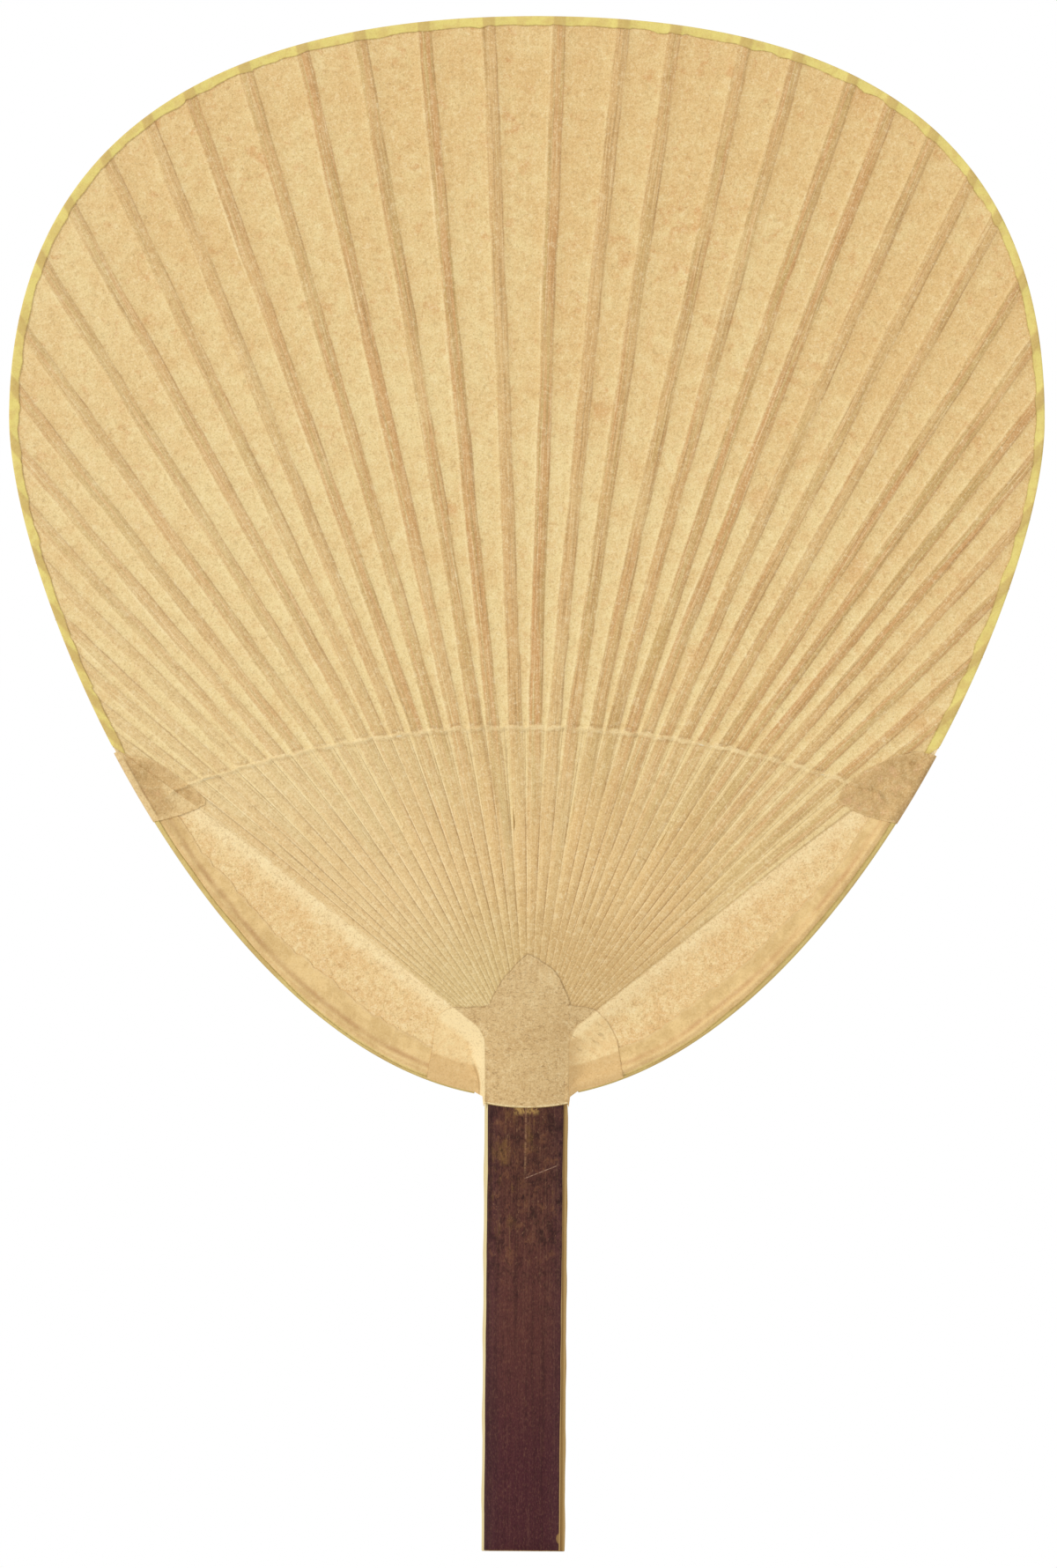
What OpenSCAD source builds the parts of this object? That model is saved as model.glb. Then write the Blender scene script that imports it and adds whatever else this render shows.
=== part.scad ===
// Round bamboo and paper uchiwa: one slip of bamboo is the grip and, split, the ribs of the leaf.
// The fan stands on the end of its grip: X across the leaf, Y through it with the front at -Y, Z up.

/* [Leaf] */
// Height of the whole fan
fan_h = 380; // [350:1:410]
// Width of the leaf
leaf_w = 256.4; // [230:0.1:280]
// Height of the widest line of the leaf
wide_z = 280.2; // [268:0.1:292]
// Height of the leaf's lower edge where the bow passes through the grip
heel_z = 112.3; // [104:0.1:120]
// Share of the half width that the crown runs level
crown_share = 0.569; // [0.5:0.001:0.64]
// Share of the upper height that the sides run upright
shoulder_share = 0.75; // [0.68:0.01:0.82]
// Share of the lower height that the sides run upright
hip_share = 0.269; // [0.22:0.001:0.34]
// Length over which the lower edge leaves the grip level
heel_run = 71.7; // [64:0.1:80]
// Distance of the leaf's middle line to the right of the grip's
leaf_shift = -1; // [-1.5:0.1:1.5]
// Distance of the crown's top to the right of the grip's middle line
crown_shift = 2.9; // [-4:0.1:4]

/* [Grip] */
// Width of the bamboo slip
grip_w = 20.5; // [18:0.1:24]
// Thickness of the slip
grip_t = 5; // [4.6:0.1:6]
// Radius of the bamboo's rounded skin
skin_r = 45; // [38:1:70]
// Width of the shaved strip along each edge of the skin
edge_shave = 1.1; // [0.6:0.1:1.6]
// Depth of the shaved strip at the side
shave_t = 1.2; // [0.6:0.1:1.8]
// Bevel round the cut end
end_bevel = 0.5; // [0.2:0.1:0.8]

/* [Ribs] */
// Number of ribs split out of the slip
rib_count = 37; // [31:2:41]
// Height above the bow's line at which the ribs fan out
fan_rise = 15.5; // [13:0.1:18]
// Depth of the slip where it is split
rib_root = 3.4; // [3:0.1:3.8]
// Width of a rib once it lies flat in the middle of the leaf
rib_w = 2.9; // [2.4:0.1:3.2]
// Width that the outermost ribs lose
rib_slim = 0.9; // [0.5:0.1:1.2]
// Thickness of a rib
rib_t = 0.5; // [0.4:0.02:0.52]
// Angle from the middle of the fan to the outermost rib
half_angle = 54; // [50:0.5:57]
// Lean of the middle rib
lean_angle = -2.7; // [-4:0.1:4]
// Angle by which the ribs stand wider in the middle
ease_angle = 8; // [4:0.5:11]
// Largest stray angle of a rib
stray_angle = 0.5; // [0:0.1:0.6]

/* [Bow and thread] */
// Diameter of the bow
bow_d = 2; // [1.6:0.1:2.2]
// Depth of the bow's middle line inside the leaf's edge
bow_in = 1.8; // [1.7:0.1:2.4]
// Clearance of the bow in its hole
bow_play = 0.1; // [0.05:0.05:0.3]
// Diameter of the weaving thread
thread_d = 0.5; // [0.4:0.05:0.6]
// Height of the thread over the fan point
thread_rise = 76; // [68:0.5:84]
// Distance of the thread's ends from the corners of the leaf
thread_in = 17.5; // [15:0.1:20]

/* [Paper] */
// Thickness of the front and back papers
paper_t = 0.2; // [0.12:0.01:0.3]
// Thickness of the binding, hem and patch papers
strip_t = 0.15; // [0.1:0.01:0.25]
// Gap left for paste between neighbouring pieces
paste = 0.05; // [0.03:0.01:0.08]
// Height of the ridges that the ribs raise in the papers
relief = 0.28; // [0.1:0.01:0.28]
// Width over which the papers slope down beside the ribs' roots
slope_w = 8; // [6:0.5:10]
// Width of the binding round the rim
rim_w = 2.2; // [1.6:0.1:3]
// Width of the hem along the bow
hem_w = 6.5; // [5:0.1:8]
// Width of the thin lower binding on the front
lip_w = 0.8; // [0.5:0.1:1.2]
// Depth of the papers' tab on the grip, below the bow's line
tab_drop = 2.2; // [2:0.1:4]
// Height of the neck patch's point over the fan point
dome_h = 20.3; // [17:0.1:23]
// Height of the notches beside the point
notch_h = 9.8; // [9:0.1:12]
// Height at which the side lobes cross the outermost ribs
lobe_h = 12.3; // [11:0.1:14]
// Bulge of the side lobes
lobe_bulge = 6; // [3:0.1:6.5]
// Height on the leaf's edge at which the side lobes end, over the fan point
lobe_low = 3.8; // [2:0.1:6]
// Reach of the ears below the thread, on the leaf's edge
ear_foot = 2.3; // [1:0.1:4]
// Reach of the ears' inner corner below the thread
ear_deep = 7.7; // [6:0.1:10]

/* [Hidden] */

half_w = leaf_w / 2;
grip_half = grip_w / 2;
fan_z = heel_z + fan_rise;
bow_r = bow_d / 2;

// Rows of the leaf, as distances from the fan point, and the neck's own heights
root_r = -5;
scoop_r = -10.5;
foot_r = -15.3;
tab_r = -fan_rise - tab_drop;
tab_side = 0.2;
foot_side = 0.6;
heel_side = 2.6;
bend_r = 24;
level_r = 50;
valley_w = 1.2;
fill_share = 0.93;
bend_pull = 10;
weave_gap = 3;
neck_rows = [tab_r, foot_r, scoop_r, root_r, 4, 12, bend_r];
pleat_steps = 6;
flat_share = 0.3;

// Columns of the leaf: a crest on every rib and a valley on each side of it
steps = (rib_count - 1) / 2;
crests = rib_count * 2 + 1;
rim_u = 1 + 0.5 / steps;
root_half = grip_half / rim_u;
root_pitch = root_half / steps;
stray = rands(-stray_angle, stray_angle, rib_count, 7);
side_cols = 5;
cols = crests + 2 * side_cols;

// Room between a rib and the papers, and half gaps between the papers where no rib holds them apart
rib_gap = 0.08;
meet = 0.08;
edge_gap = 0.5;
bow_room = 0.12;
bow_gap = bow_r + bow_room;
hem_gap = 0.2;
rim_gap = rib_t / 2 + rib_gap;
weave_play = 0.04;
weave_y = (rib_t + thread_d) / 2 + weave_play;
thread_gap = weave_y + thread_d / 2 + 2 * paste;
least_facing = 0.3;
least_run = 0.3;
hem_most = 0.62;
bow_most = 0.45;
foot_least = 0.86;
side_gaps = [edge_gap, bow_gap, hem_gap, meet, meet];

wrap_in = strip_t + paste;

function clamp(v, lo, hi) = min(max(v, lo), hi);
function ease(t) = let (k = clamp(t, 0, 1)) k * k * (3 - 2 * k);
function mix(a, b, t) = a + (b - a) * t;
function unit(v) = v / norm(v);
function rot90(v) = [v[1], -v[0]];

// Outline of the leaf on one side: a curve from the crown to the widest line, and one down to the heel
function crown_curve(side) = [
    [side * crown_shift, fan_h],
    [crown_share * half_w + side * crown_shift, fan_h],
    [half_w + side * leaf_shift, mix(wide_z, fan_h, shoulder_share)],
    [half_w + side * leaf_shift, wide_z]
];
function heel_curve(side) = [
    [half_w + side * leaf_shift, wide_z],
    [half_w + side * leaf_shift, mix(wide_z, heel_z, hip_share)],
    [heel_run + side * leaf_shift, heel_z],
    [side * leaf_shift, heel_z]
];
function curve(p, t) =
    pow(1 - t, 3) * p[0] + 3 * pow(1 - t, 2) * t * p[1] + 3 * (1 - t) * t * t * p[2] + pow(t, 3) * p[3];
function slope(p, t) =
    pow(1 - t, 2) * (p[1] - p[0]) + 2 * (1 - t) * t * (p[2] - p[1]) + t * t * (p[3] - p[2]);
function edge(s, side) = s < 1 ? curve(crown_curve(side), s) : curve(heel_curve(side), s - 1);
function inward(s, side) =
    rot90(unit(s < 1 ? slope(crown_curve(side), s) : slope(heel_curve(side), s - 1)));
function inset(s, d, side) = edge(s, side) + inward(s, side) * d;

// Places on the outline: where a ray from the fan point meets it, and where it reaches a given x
function angle_of(p) = atan2(p[0], p[1] - fan_z);
function edge_at(a, side, lo = 0, hi = 1.98, n = 22) =
    let (m = (lo + hi) / 2, short = angle_of(inset(m, wrap_in, side)) < a)
    n == 0 ? m : edge_at(a, side, short ? m : lo, short ? hi : m, n - 1);
function edge_x(x, side, lo = 1.5, hi = 2, n = 22) =
    let (m = (lo + hi) / 2, wide = edge(m, side)[0] > x)
    n == 0 ? m : edge_x(x, side, wide ? m : lo, wide ? hi : m, n - 1);
function side_of(u) = u < 0 ? -1 : 1;

// Fan of the ribs: u runs from -1 to 1 over the outermost ribs
function stray_at(u) =
    let (i = clamp(u * steps + steps, 0, rib_count - 1), a = floor(i), b = min(a + 1, rib_count - 1))
    mix(stray[a], stray[b], i - a);
function fan_angle(u) = half_angle * u + (ease_angle * u + lean_angle) * (1 - u * u) + stray_at(u);
function pitch(u, r) =
    let (turn = half_angle + ease_angle * (1 - 3 * u * u) - 2 * lean_angle * u)
    max(root_pitch, r * turn * PI / 180 / steps);
function fan_pt(u, r) =
    let (a = fan_angle(u), away = [sin(a), cos(a)], foot = [u * root_half, fan_z + root_r])
    r <= root_r ? [foot[0], fan_z + r]
    : r >= bend_r ? [0, fan_z] + r * away
    : let (out = [0, fan_z] + bend_r * away)
      curve([foot, foot + [0, bend_pull], out - bend_pull * away, out], (r - root_r) / (bend_r - root_r));

// Line of the thread: an arc over the fan point that ends short of the leaf's corners
corner_past = 0.012;
function corner_s(side) = edge_at(abs(fan_angle(side * rim_u)), side);
function corner_reach(side) = norm(inset(corner_s(side), wrap_in, side) - [0, fan_z]);
thread_turn = (fan_angle(rim_u) - fan_angle(-rim_u)) / 2;
thread_reach = (corner_reach(-1) + corner_reach(1)) / 2 - thread_in;
thread_drop = thread_rise - thread_reach * cos(thread_turn);
thread_r = (pow(thread_reach * sin(thread_turn), 2) + pow(thread_drop, 2)) / 2 / thread_drop;
function thread_at(a) =
    let (h = thread_r - thread_rise)
    sqrt(thread_r * thread_r - pow(h * sin(a), 2)) - h * cos(a);

// Distances of the rows along column u
function rows_at(u) =
    let (
        a = fan_angle(u),
        weave = thread_at(a),
        side = side_of(a),
        s = edge_at(abs(a), side),
        rim = norm(inset(s, wrap_in, side) - [0, fan_z]),
        band = rim_w / max(-inward(s, side) * [sin(abs(a)), cos(a)], least_facing),
        low = weave - weave_gap
    )
    concat(
        neck_rows,
        [for (i = [1 : pleat_steps]) mix(bend_r, low, i / pleat_steps)],
        [weave, weave + weave_gap, rim - band, rim]
    );
weave_row = len(neck_rows) + pleat_steps;
rim_row = weave_row + 3;

// Section of a rib: its width, its twist from edge-on to flat, and its middle through the leaf
function skin_sag(x) = x * x / 2 / skin_r;
function rib_wide(u, r) =
    let (root = rib_root - skin_sag(u * root_half), flat = rib_w - rib_slim * u * u)
    mix(root, flat, ease(r / thread_rise));
function rib_flat(u, r) = clamp(fill_share * (pitch(u, r) - root_pitch) / rib_wide(u, r), 0, 1);
function rib_reach(u, r) =
    let (s = rib_flat(u, r), c = sqrt(1 - s * s))
    rib_wide(u, r) / 2 * c + rib_t / 2 * s;
function rib_mid(u, r) =
    let (x = u * root_half, root = (rib_root + skin_sag(x)) / 2 - grip_t / 2)
    root * (1 - ease(r / level_r));

// Half gap of the papers on a column: [front, back], with a crest on a rib and a valley beside it
function span(u0, u1, r) = norm(fan_pt(u1, r) - fan_pt(u0, r));
function space_at(u, r, crest) =
    let (d = 1 / steps)
    crest ? min(span(u - d, u, r), span(u, u + d, r)) : span(u - d / 2, u + d / 2, r);
function gap_at(u, r, row, crest) =
    let (
        v = clamp(u, -1, 1),
        mid = rib_mid(v, r),
        reach = rib_reach(v, r) + rib_gap,
        q = min(rib_wide(u, r) / space_at(u, r, crest), 1),
        lift = relief * (row > weave_row ? flat_share : 1) * ease((pitch(u, r) - rib_wide(u, r)) / valley_w),
        rise = crest ? lift * q : -lift * (1 - q)
    )
    row == weave_row ? [thread_gap, thread_gap]
    : row >= rim_row - 1 ? [rim_gap, rim_gap]
    : r < root_r ? [grip_t / 2 - skin_sag(u * root_half) + paste, grip_t / 2 + paste]
    : [reach - mid + rise, reach + mid + rise];

// Rows of every fan column, and where the lower edge of the leaf begins and ends on each side
fan_rows = [for (c = [0 : crests - 1]) rows_at((c - rib_count) / (rib_count - 1))];
function corner_col(side) = fan_rows[side < 0 ? 0 : crests - 1];
function corner_rim(side) = corner_col(side)[rim_row];
side_s = [for (side = [-1, 1]) [edge_x(grip_half + heel_side, side), corner_s(side) + corner_past]];

// Lower edge of the leaf beside row r, as a place on the outline
function low_s(r, side) =
    let (ends = side_s[side < 0 ? 0 : 1])
    mix(ends[0], ends[1], clamp((r - scoop_r) / (corner_rim(side) - scoop_r), 0, 1));
function low_pt(r, side) =
    r < foot_r ? mix([grip_half + tab_side, fan_z + tab_r], [grip_half + foot_side, fan_z + foot_r],
        (r - tab_r) / (foot_r - tab_r))
    : mix([grip_half + foot_side, fan_z + foot_r], inset(low_s(r, side), wrap_in, side),
        clamp((r - foot_r) / (scoop_r - foot_r), 0, 1));

// Point of the leaf: [x, z, front gap, back gap], on the fan at u, or on a side panel at column i
function fan_node(u, r, row, crest) = concat(fan_pt(u, r), gap_at(u, r, row, crest));
function side_frac(run, long, i) =
    let (hem = min(hem_w / run, hem_most), foot = max(1 - slope_w / long, foot_least))
    [0, min(bow_in / run, bow_most), hem, (hem + foot) / 2, foot][i];
function side_least(i, row, frac, run) =
    row == weave_row ? max(side_gaps[i], thread_d / 2 + 3 * paste + weave_y * frac)
    : row >= rim_row - 1 ? min(side_gaps[i], rim_gap)
    : abs(frac * run - bow_in) < bow_gap + meet ? bow_gap
    : side_gaps[i];
function side_node(side, i, r, row) =
    let (
        b = fan_pt(side * rim_u, r),
        at = [abs(b[0]), b[1]],
        e = low_pt(r, side),
        run = max((at - e) * inward(low_s(r, side), side), least_run),
        frac = side_frac(run, norm(at - e), i),
        p = mix(e, at, frac),
        root = gap_at(side * rim_u, r, row, false),
        fall = ease(1 - norm(at - p) / slope_w),
        least = r < scoop_r ? side_gaps[i] : side_least(i, row, frac, run)
    )
    [side * p[0], p[1], max(least, root[0] * fall), max(least, root[1] * fall)];

function leaf_node(k, row) =
    k < side_cols ? side_node(-1, k, fan_rows[0][row], row)
    : k >= side_cols + crests ? side_node(1, cols - 1 - k, fan_rows[crests - 1][row], row)
    : let (c = k - side_cols)
      fan_node((c - rib_count) / (rib_count - 1), fan_rows[c][row], row, c % 2 == 1);

leaf = [for (row = [0 : rim_row]) [for (k = [0 : cols - 1]) leaf_node(k, row)]];

// Point of a layer lying d outside the papers' inner faces, on the front (-1) or the back (1)
function layer(n, side, d) = [n[0], side * ((side < 0 ? n[2] : n[3]) + d), n[1]];

// Closed skin over a grid of leaf points, from d0 to d1 outside the papers' inner faces
module skin(grid, side, d0, d1) {
    rows_n = len(grid);
    cols_n = len(grid[0]);
    all_n = rows_n * cols_n;
    inner = [for (g = grid) for (p = g) layer(p, side, d0)];
    outer = [for (g = grid) for (p = g) layer(p, side, d1)];
    function at(row, col, out) = row * cols_n + col + (out ? all_n : 0);
    left = (cols_n - 1) / 2;
    quads = concat(
        [for (a = [0 : rows_n - 2]) for (b = [0 : cols_n - 2])
            b < left ? [at(a, b, true), at(a + 1, b, true), at(a + 1, b + 1, true), at(a, b + 1, true)]
            : [at(a + 1, b, true), at(a + 1, b + 1, true), at(a, b + 1, true), at(a, b, true)]],
        [for (a = [0 : rows_n - 2]) for (b = [0 : cols_n - 2])
            b < left ? [at(a, b, false), at(a, b + 1, false), at(a + 1, b + 1, false), at(a + 1, b, false)]
            : [at(a + 1, b, false), at(a, b, false), at(a, b + 1, false), at(a + 1, b + 1, false)]],
        [for (a = [0 : rows_n - 2])
            [at(a, 0, false), at(a + 1, 0, false), at(a + 1, 0, true), at(a, 0, true)]],
        [for (a = [0 : rows_n - 2])
            [at(a, cols_n - 1, true), at(a + 1, cols_n - 1, true),
             at(a + 1, cols_n - 1, false), at(a, cols_n - 1, false)]],
        [for (b = [0 : cols_n - 2])
            [at(0, b, true), at(0, b + 1, true), at(0, b + 1, false), at(0, b, false)]],
        [for (b = [0 : cols_n - 2])
            [at(rows_n - 1, b, false), at(rows_n - 1, b + 1, false),
             at(rows_n - 1, b + 1, true), at(rows_n - 1, b, true)]]
    );
    faces = [for (q = quads) each [[q[0], q[1], q[2]], [q[0], q[2], q[3]]]];
    turned = [for (f = faces) side > 0 ? [f[2], f[1], f[0]] : f];
    polyhedron(points = concat(inner, outer), faces = turned);
}

// Closed tube through a list of equal loops, capped at both ends; a folded strip has f points in each
// layer of its front and b in each of its back, and its triangles lie as those of the skins
module loft(loops, flip = false, f = 0, b = 0) {
    m = len(loops[0]);
    n = len(loops);
    function crossed(j) = j < f - 1 || (f > 0 && j >= f + b && j < f + 2 * b - 1);
    sides = [for (i = [0 : n - 2]) for (j = [0 : m - 1])
        let (p = i * m + j, q = i * m + (j + 1) % m)
        each crossed(j) ? [[p, q, p + m], [q, q + m, p + m]] : [[p, q, q + m], [p, q + m, p + m]]];
    top = (n - 1) * m;
    ends = [for (j = [0 : m / 2 - 2])
        let (k = j + 1, p = m - 2 - j, q = m - 1 - j)
        each [[j, p, k], [j, q, p], [top + j, top + k, top + p], [top + j, top + p, top + q]]];
    faces = concat(sides, ends);
    polyhedron(
        points = [for (l = loops) each l],
        faces = flip ? faces : [for (f = faces) [for (j = [len(f) - 1 : -1 : 0]) f[j]]]
    );
}

// Slip of bamboo: the grip with its shaved edges, the bow's hole and the ribs split out of its end
split_z = fan_z + root_r;
scoop_z = fan_z + scoop_r;
shave_z = fan_z + foot_r;
over = 1;
bow_low = heel_z + wrap_in + bow_in;
bow_high = max([for (side = [-1, 1]) bow_at(edge_x(grip_half, side), side)[2]]);
bore_z = (bow_low + bow_high) / 2;
bore_r = (bow_high - bow_low) / 2 + bow_r + bow_play;
kerf = 0.04;
rib_short = 0.3;
step_r = 0.2;

module block() {
    side = [
        [-grip_t, 0],
        [grip_t / 2 - end_bevel, 0],
        [grip_t / 2, end_bevel],
        [grip_t / 2, scoop_z],
        [rib_root - grip_t / 2, split_z],
        [-grip_t, split_z]
    ];
    face = [
        [-grip_half + end_bevel, 0],
        [grip_half - end_bevel, 0],
        [grip_half, end_bevel],
        [grip_half, split_z + over],
        [-grip_half, split_z + over],
        [-grip_half, end_bevel]
    ];
    intersection() {
        translate([-grip_w, 0, 0]) rotate([90, 0, 90]) linear_extrude(2 * grip_w) polygon(side);
        translate([0, grip_t, 0]) rotate([90, 0, 0]) linear_extrude(3 * grip_t) polygon(face);
        translate([0, skin_r - grip_t / 2, 0]) {
            cylinder(h = end_bevel, r1 = skin_r - end_bevel, r2 = skin_r, $fn = 96);
            translate([0, 0, end_bevel]) cylinder(h = split_z, r = skin_r, $fn = 96);
        }
    }
}

module shave(sgn) {
    start = grip_half - edge_shave;
    y = skin_sag(start) - grip_t / 2;
    cut = [
        [start - edge_shave, y - shave_t],
        [grip_half + edge_shave, y + 2 * shave_t],
        [grip_half + edge_shave, y - shave_t]
    ];
    translate([0, 0, -over]) linear_extrude(shave_z + over) polygon([for (p = cut) [sgn * p[0], p[1]]]);
}

module grip() {
    difference() {
        block();
        shave(-1);
        shave(1);
        translate([0, 0, bore_z]) rotate([0, 90, 0])
            cylinder(h = grip_w + 2 * over, r = bore_r, center = true, $fn = 48);
    }
}

function rib_ring(u, r) =
    let (
        p = fan_pt(u, r),
        ahead = unit(fan_pt(u, r + step_r) - fan_pt(u, r - step_r)),
        across = [ahead[1], 0, -ahead[0]],
        s = rib_flat(u, r),
        c = sqrt(1 - s * s),
        mid = [p[0], rib_mid(u, r), p[1]],
        wide = rib_wide(u, r) / 2 * (s * across + [0, c, 0]),
        thin = min(rib_t, pitch(u, r) - kerf) / 2 * (c * across - [0, s, 0])
    )
    [mid + wide + thin, mid + wide - thin, mid - wide - thin, mid - wide + thin];

function rib_end(u, r) =
    let (
        a = fan_angle(u),
        side = side_of(a),
        facing = -inward(edge_at(abs(a), side), side) * [sin(abs(a)), cos(a)],
        skew = sqrt(1 - facing * facing) / facing
    )
    r[rim_row] - rib_short - rib_wide(u, r[rim_row]) / 2 * skew;
module rib(i) {
    u = i / steps - 1;
    all_r = rows_at(u);
    picked = concat([for (k = [3 : weave_row]) all_r[k]], [rib_end(u, all_r)]);
    loft([for (r = picked) rib_ring(u, r)]);
}

module bamboo_slip() {
    color("#c9a86a") {
        grip();
        for (i = [0 : rib_count - 1]) rib(i);
    }
}

// Bow: a thin rod through the hole in the grip, bent up along both lower edges of the leaf
bow_parts = 22;
tip_share = 0.7;
bow_past = 2;
bow_step = 0.004;
function weave_s(side, past) = low_s(corner_col(side)[weave_row] + past, side);
function bow_at(s, side) = let (p = inset(s, wrap_in + bow_in, side)) [side * p[0], 0, p[1]];
function bow_pt(t) = bow_at(mix(2, weave_s(side_of(t), bow_past), abs(t)), side_of(t));
function ring(p, a, b, r, n) = [for (j = [0 : n - 1]) p + r * (cos(360 * j / n) * a + sin(360 * j / n) * b)];
function bow_ring(t) =
    let (ahead = unit(bow_pt(t + bow_step) - bow_pt(t - bow_step)), out = [ahead[2], 0, -ahead[0]])
    ring(bow_pt(t), out, [0, 1, 0], bow_r * mix(1, tip_share, abs(t)), 8);

module bow() {
    color("#d8c08a") loft([for (i = [-bow_parts : bow_parts]) bow_ring(i / bow_parts)]);
}

// Thread: over one rib and under the next, and made fast to the bow near both its ends
function weave_pt(a, y) = let (r = thread_at(a)) [r * sin(a), y, fan_z + r * cos(a)];
function thread_over(i) =
    let (
        u = i / steps - 1,
        a = fan_angle(u),
        turn = asin((rib_wide(u, thread_at(a)) + thread_d) / 2 / thread_at(a)),
        y = i % 2 == 0 ? -weave_y : weave_y
    )
    [weave_pt(a - turn, y), weave_pt(a + turn, y)];
function thread_end(side) =
    let (
        tie = bow_at(weave_s(side, 0), side),
        from = weave_pt(fan_angle(side * rim_u), 0)
    )
    tie + unit(from - tie) * (bow_r + thread_d / 2);
thread_path = concat(
    [thread_end(-1)],
    [for (i = [0 : rib_count - 1]) each thread_over(i)],
    [thread_end(1)]
);
function thread_ring(i) =
    let (
        last = len(thread_path) - 1,
        ahead = unit(thread_path[min(i + 1, last)] - thread_path[max(i - 1, 0)]),
        up = unit(cross(ahead, [0, -1, 0]))
    )
    ring(thread_path[i], up, cross(ahead, up), thread_d / 2, 6);

module thread() {
    color("#f2e7c4") loft([for (i = [0 : len(thread_path) - 1]) thread_ring(i)]);
}

// Front and back papers, pasted over the ribs
module front_paper() {
    color("#e8cc8c") skin(leaf, -1, 0, paper_t);
}
module back_paper() {
    color("#e6ca8c") skin(leaf, 1, 0, paper_t);
}

// Binding: a strip of yellow paper folded over the rim, with its ends under the ears
rim_parts = 96;
band_past = 0.02;
function band_pt(i, d) =
    let (side = side_of(i), p = inset((corner_s(side) + band_past) * abs(i) / rim_parts, d, side))
    [side * p[0], p[1]];
function band(d0, d1) = concat(
    [for (i = [-rim_parts : rim_parts]) band_pt(i, d0)],
    [for (i = [rim_parts : -1 : -rim_parts]) band_pt(i, d1)]
);
module plate(y0, y1) {
    translate([0, y1, 0]) rotate([90, 0, 0]) linear_extrude(y1 - y0) children();
}
module rim_binding() {
    seat = rim_gap + paper_t + paste;
    color("#e8d67c") {
        plate(-seat - strip_t, -seat) polygon(band(0, rim_w));
        plate(seat, seat + strip_t) polygon(band(0, rim_w));
        plate(-seat - strip_t, seat + strip_t) polygon(band(0, strip_t));
    }
}

// Strips folded over the lower edges: each loop runs round the front, the edge and the back
hem_d = paper_t + paste;
lip_d = hem_d + strip_t + 2 * paste;
cover_d = lip_d + strip_t + paste;
function edge_out(r, side) = let (n = inward(low_s(r, side), side)) [-side * n[0], -n[1]];
function shifted(p, v, d) = [p[0] + v[0] * d, p[1] + v[1] * d, p[2], p[3]];
function fold_loop(front, back, out, d, push) =
    let (
        f = len(front) - 1,
        b = len(back) - 1,
        d1 = d + strip_t
    )
    concat(
        [for (i = [0 : f - 1]) layer(front[i], -1, d1)],
        [layer(shifted(front[f], out, push + strip_t), -1, d1)],
        [layer(shifted(back[b], out, push + strip_t), 1, d1)],
        [for (i = [b - 1 : -1 : 0]) layer(back[i], 1, d1)],
        [for (i = [0 : b - 1]) layer(back[i], 1, d)],
        [layer(shifted(back[b], out, push), 1, d)],
        [layer(shifted(front[f], out, push), -1, d)],
        [for (i = [f - 1 : -1 : 0]) layer(front[i], -1, d)]
    );
function side_nodes(row, side, list) = [for (i = list) leaf[row][side < 0 ? i : cols - 1 - i]];
hem_rows = [2 : weave_row + 1];

module hem(side) {
    color("#dcbf7e")
        loft([for (row = hem_rows)
            let (n = side_nodes(row, side, [2, 1, 0]))
            fold_loop(n, n, edge_out(corner_col(side)[row], side), hem_d, paste)],
            flip = side < 0, f = 3, b = 3);
}
module lower_binding(side) {
    color("#e8d67c")
        loft([for (row = hem_rows)
            let (n = side_nodes(row, side, [1, 0]), lip = mix(n[1], n[0], lip_w / bow_in))
            fold_loop([lip, n[1]], n, edge_out(corner_col(side)[row], side), lip_d, wrap_in + paste)],
            flip = side < 0, f = 2, b = 2);
}
module hem_left() hem(-1);
module hem_right() hem(1);
module lower_binding_left() lower_binding(-1);
module lower_binding_right() lower_binding(1);

// Ears: patches wrapped round the corners of the leaf, out to the valley beyond the outermost rib
ear_tip = 0.3;
past_share = 0.6;
ear_share = [0, 0.07, 0.25, 0.6, 0.85];
ear_rise = [0, 0.7, 5.2];
ear_over = [16.2, 12.5, 4.5];
function ear_rows(low, weave, top) =
    let (past = min(weave + weave_gap, mix(weave, top, past_share)))
    [low, max(weave - weave_gap, (low + weave) / 2), weave, past, (past + top) / 2, top];
function ear_kind(j) = j == 2 ? weave_row : j > 3 ? rim_row : -1;
function ear_side(side, i, j) =
    let (
        share = ear_share[i],
        weave = corner_col(side)[weave_row],
        low = weave - mix(ear_foot, ear_deep, share),
        top = mix(corner_rim(side) - ear_tip, weave + ear_over[0], share)
    )
    side_node(side, i, ear_rows(low, weave, top)[j], ear_kind(j));
function ear_fan(side, c, j) =
    let (
        u = side * (rim_u - c / 2 / steps),
        weave = thread_at(fan_angle(u)),
        rows = ear_rows(weave - ear_deep + ear_rise[c], weave, weave + ear_over[c])
    )
    fan_node(u, rows[j], ear_kind(j), c == 1);
function ear_nodes(side, j) = concat(
    [for (c = [2 : -1 : 0]) ear_fan(side, c, j)],
    [for (i = [side_cols - 1 : -1 : 0]) ear_side(side, i, j)]
);
module ear(side) {
    count = side_cols + 3;
    color("#c3a273")
        loft([for (j = [0 : 5])
            let (
                n = ear_nodes(side, j),
                foot = corner_col(side)[weave_row] - ear_foot,
                out = edge_out(mix(foot, corner_rim(side), j / 5), side)
            )
            fold_loop(n, n, out, cover_d, 2 * wrap_in + paste)],
            flip = side < 0, f = count, b = count);
}
module ear_left() ear(-1);
module ear_right() ear(1);

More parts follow.
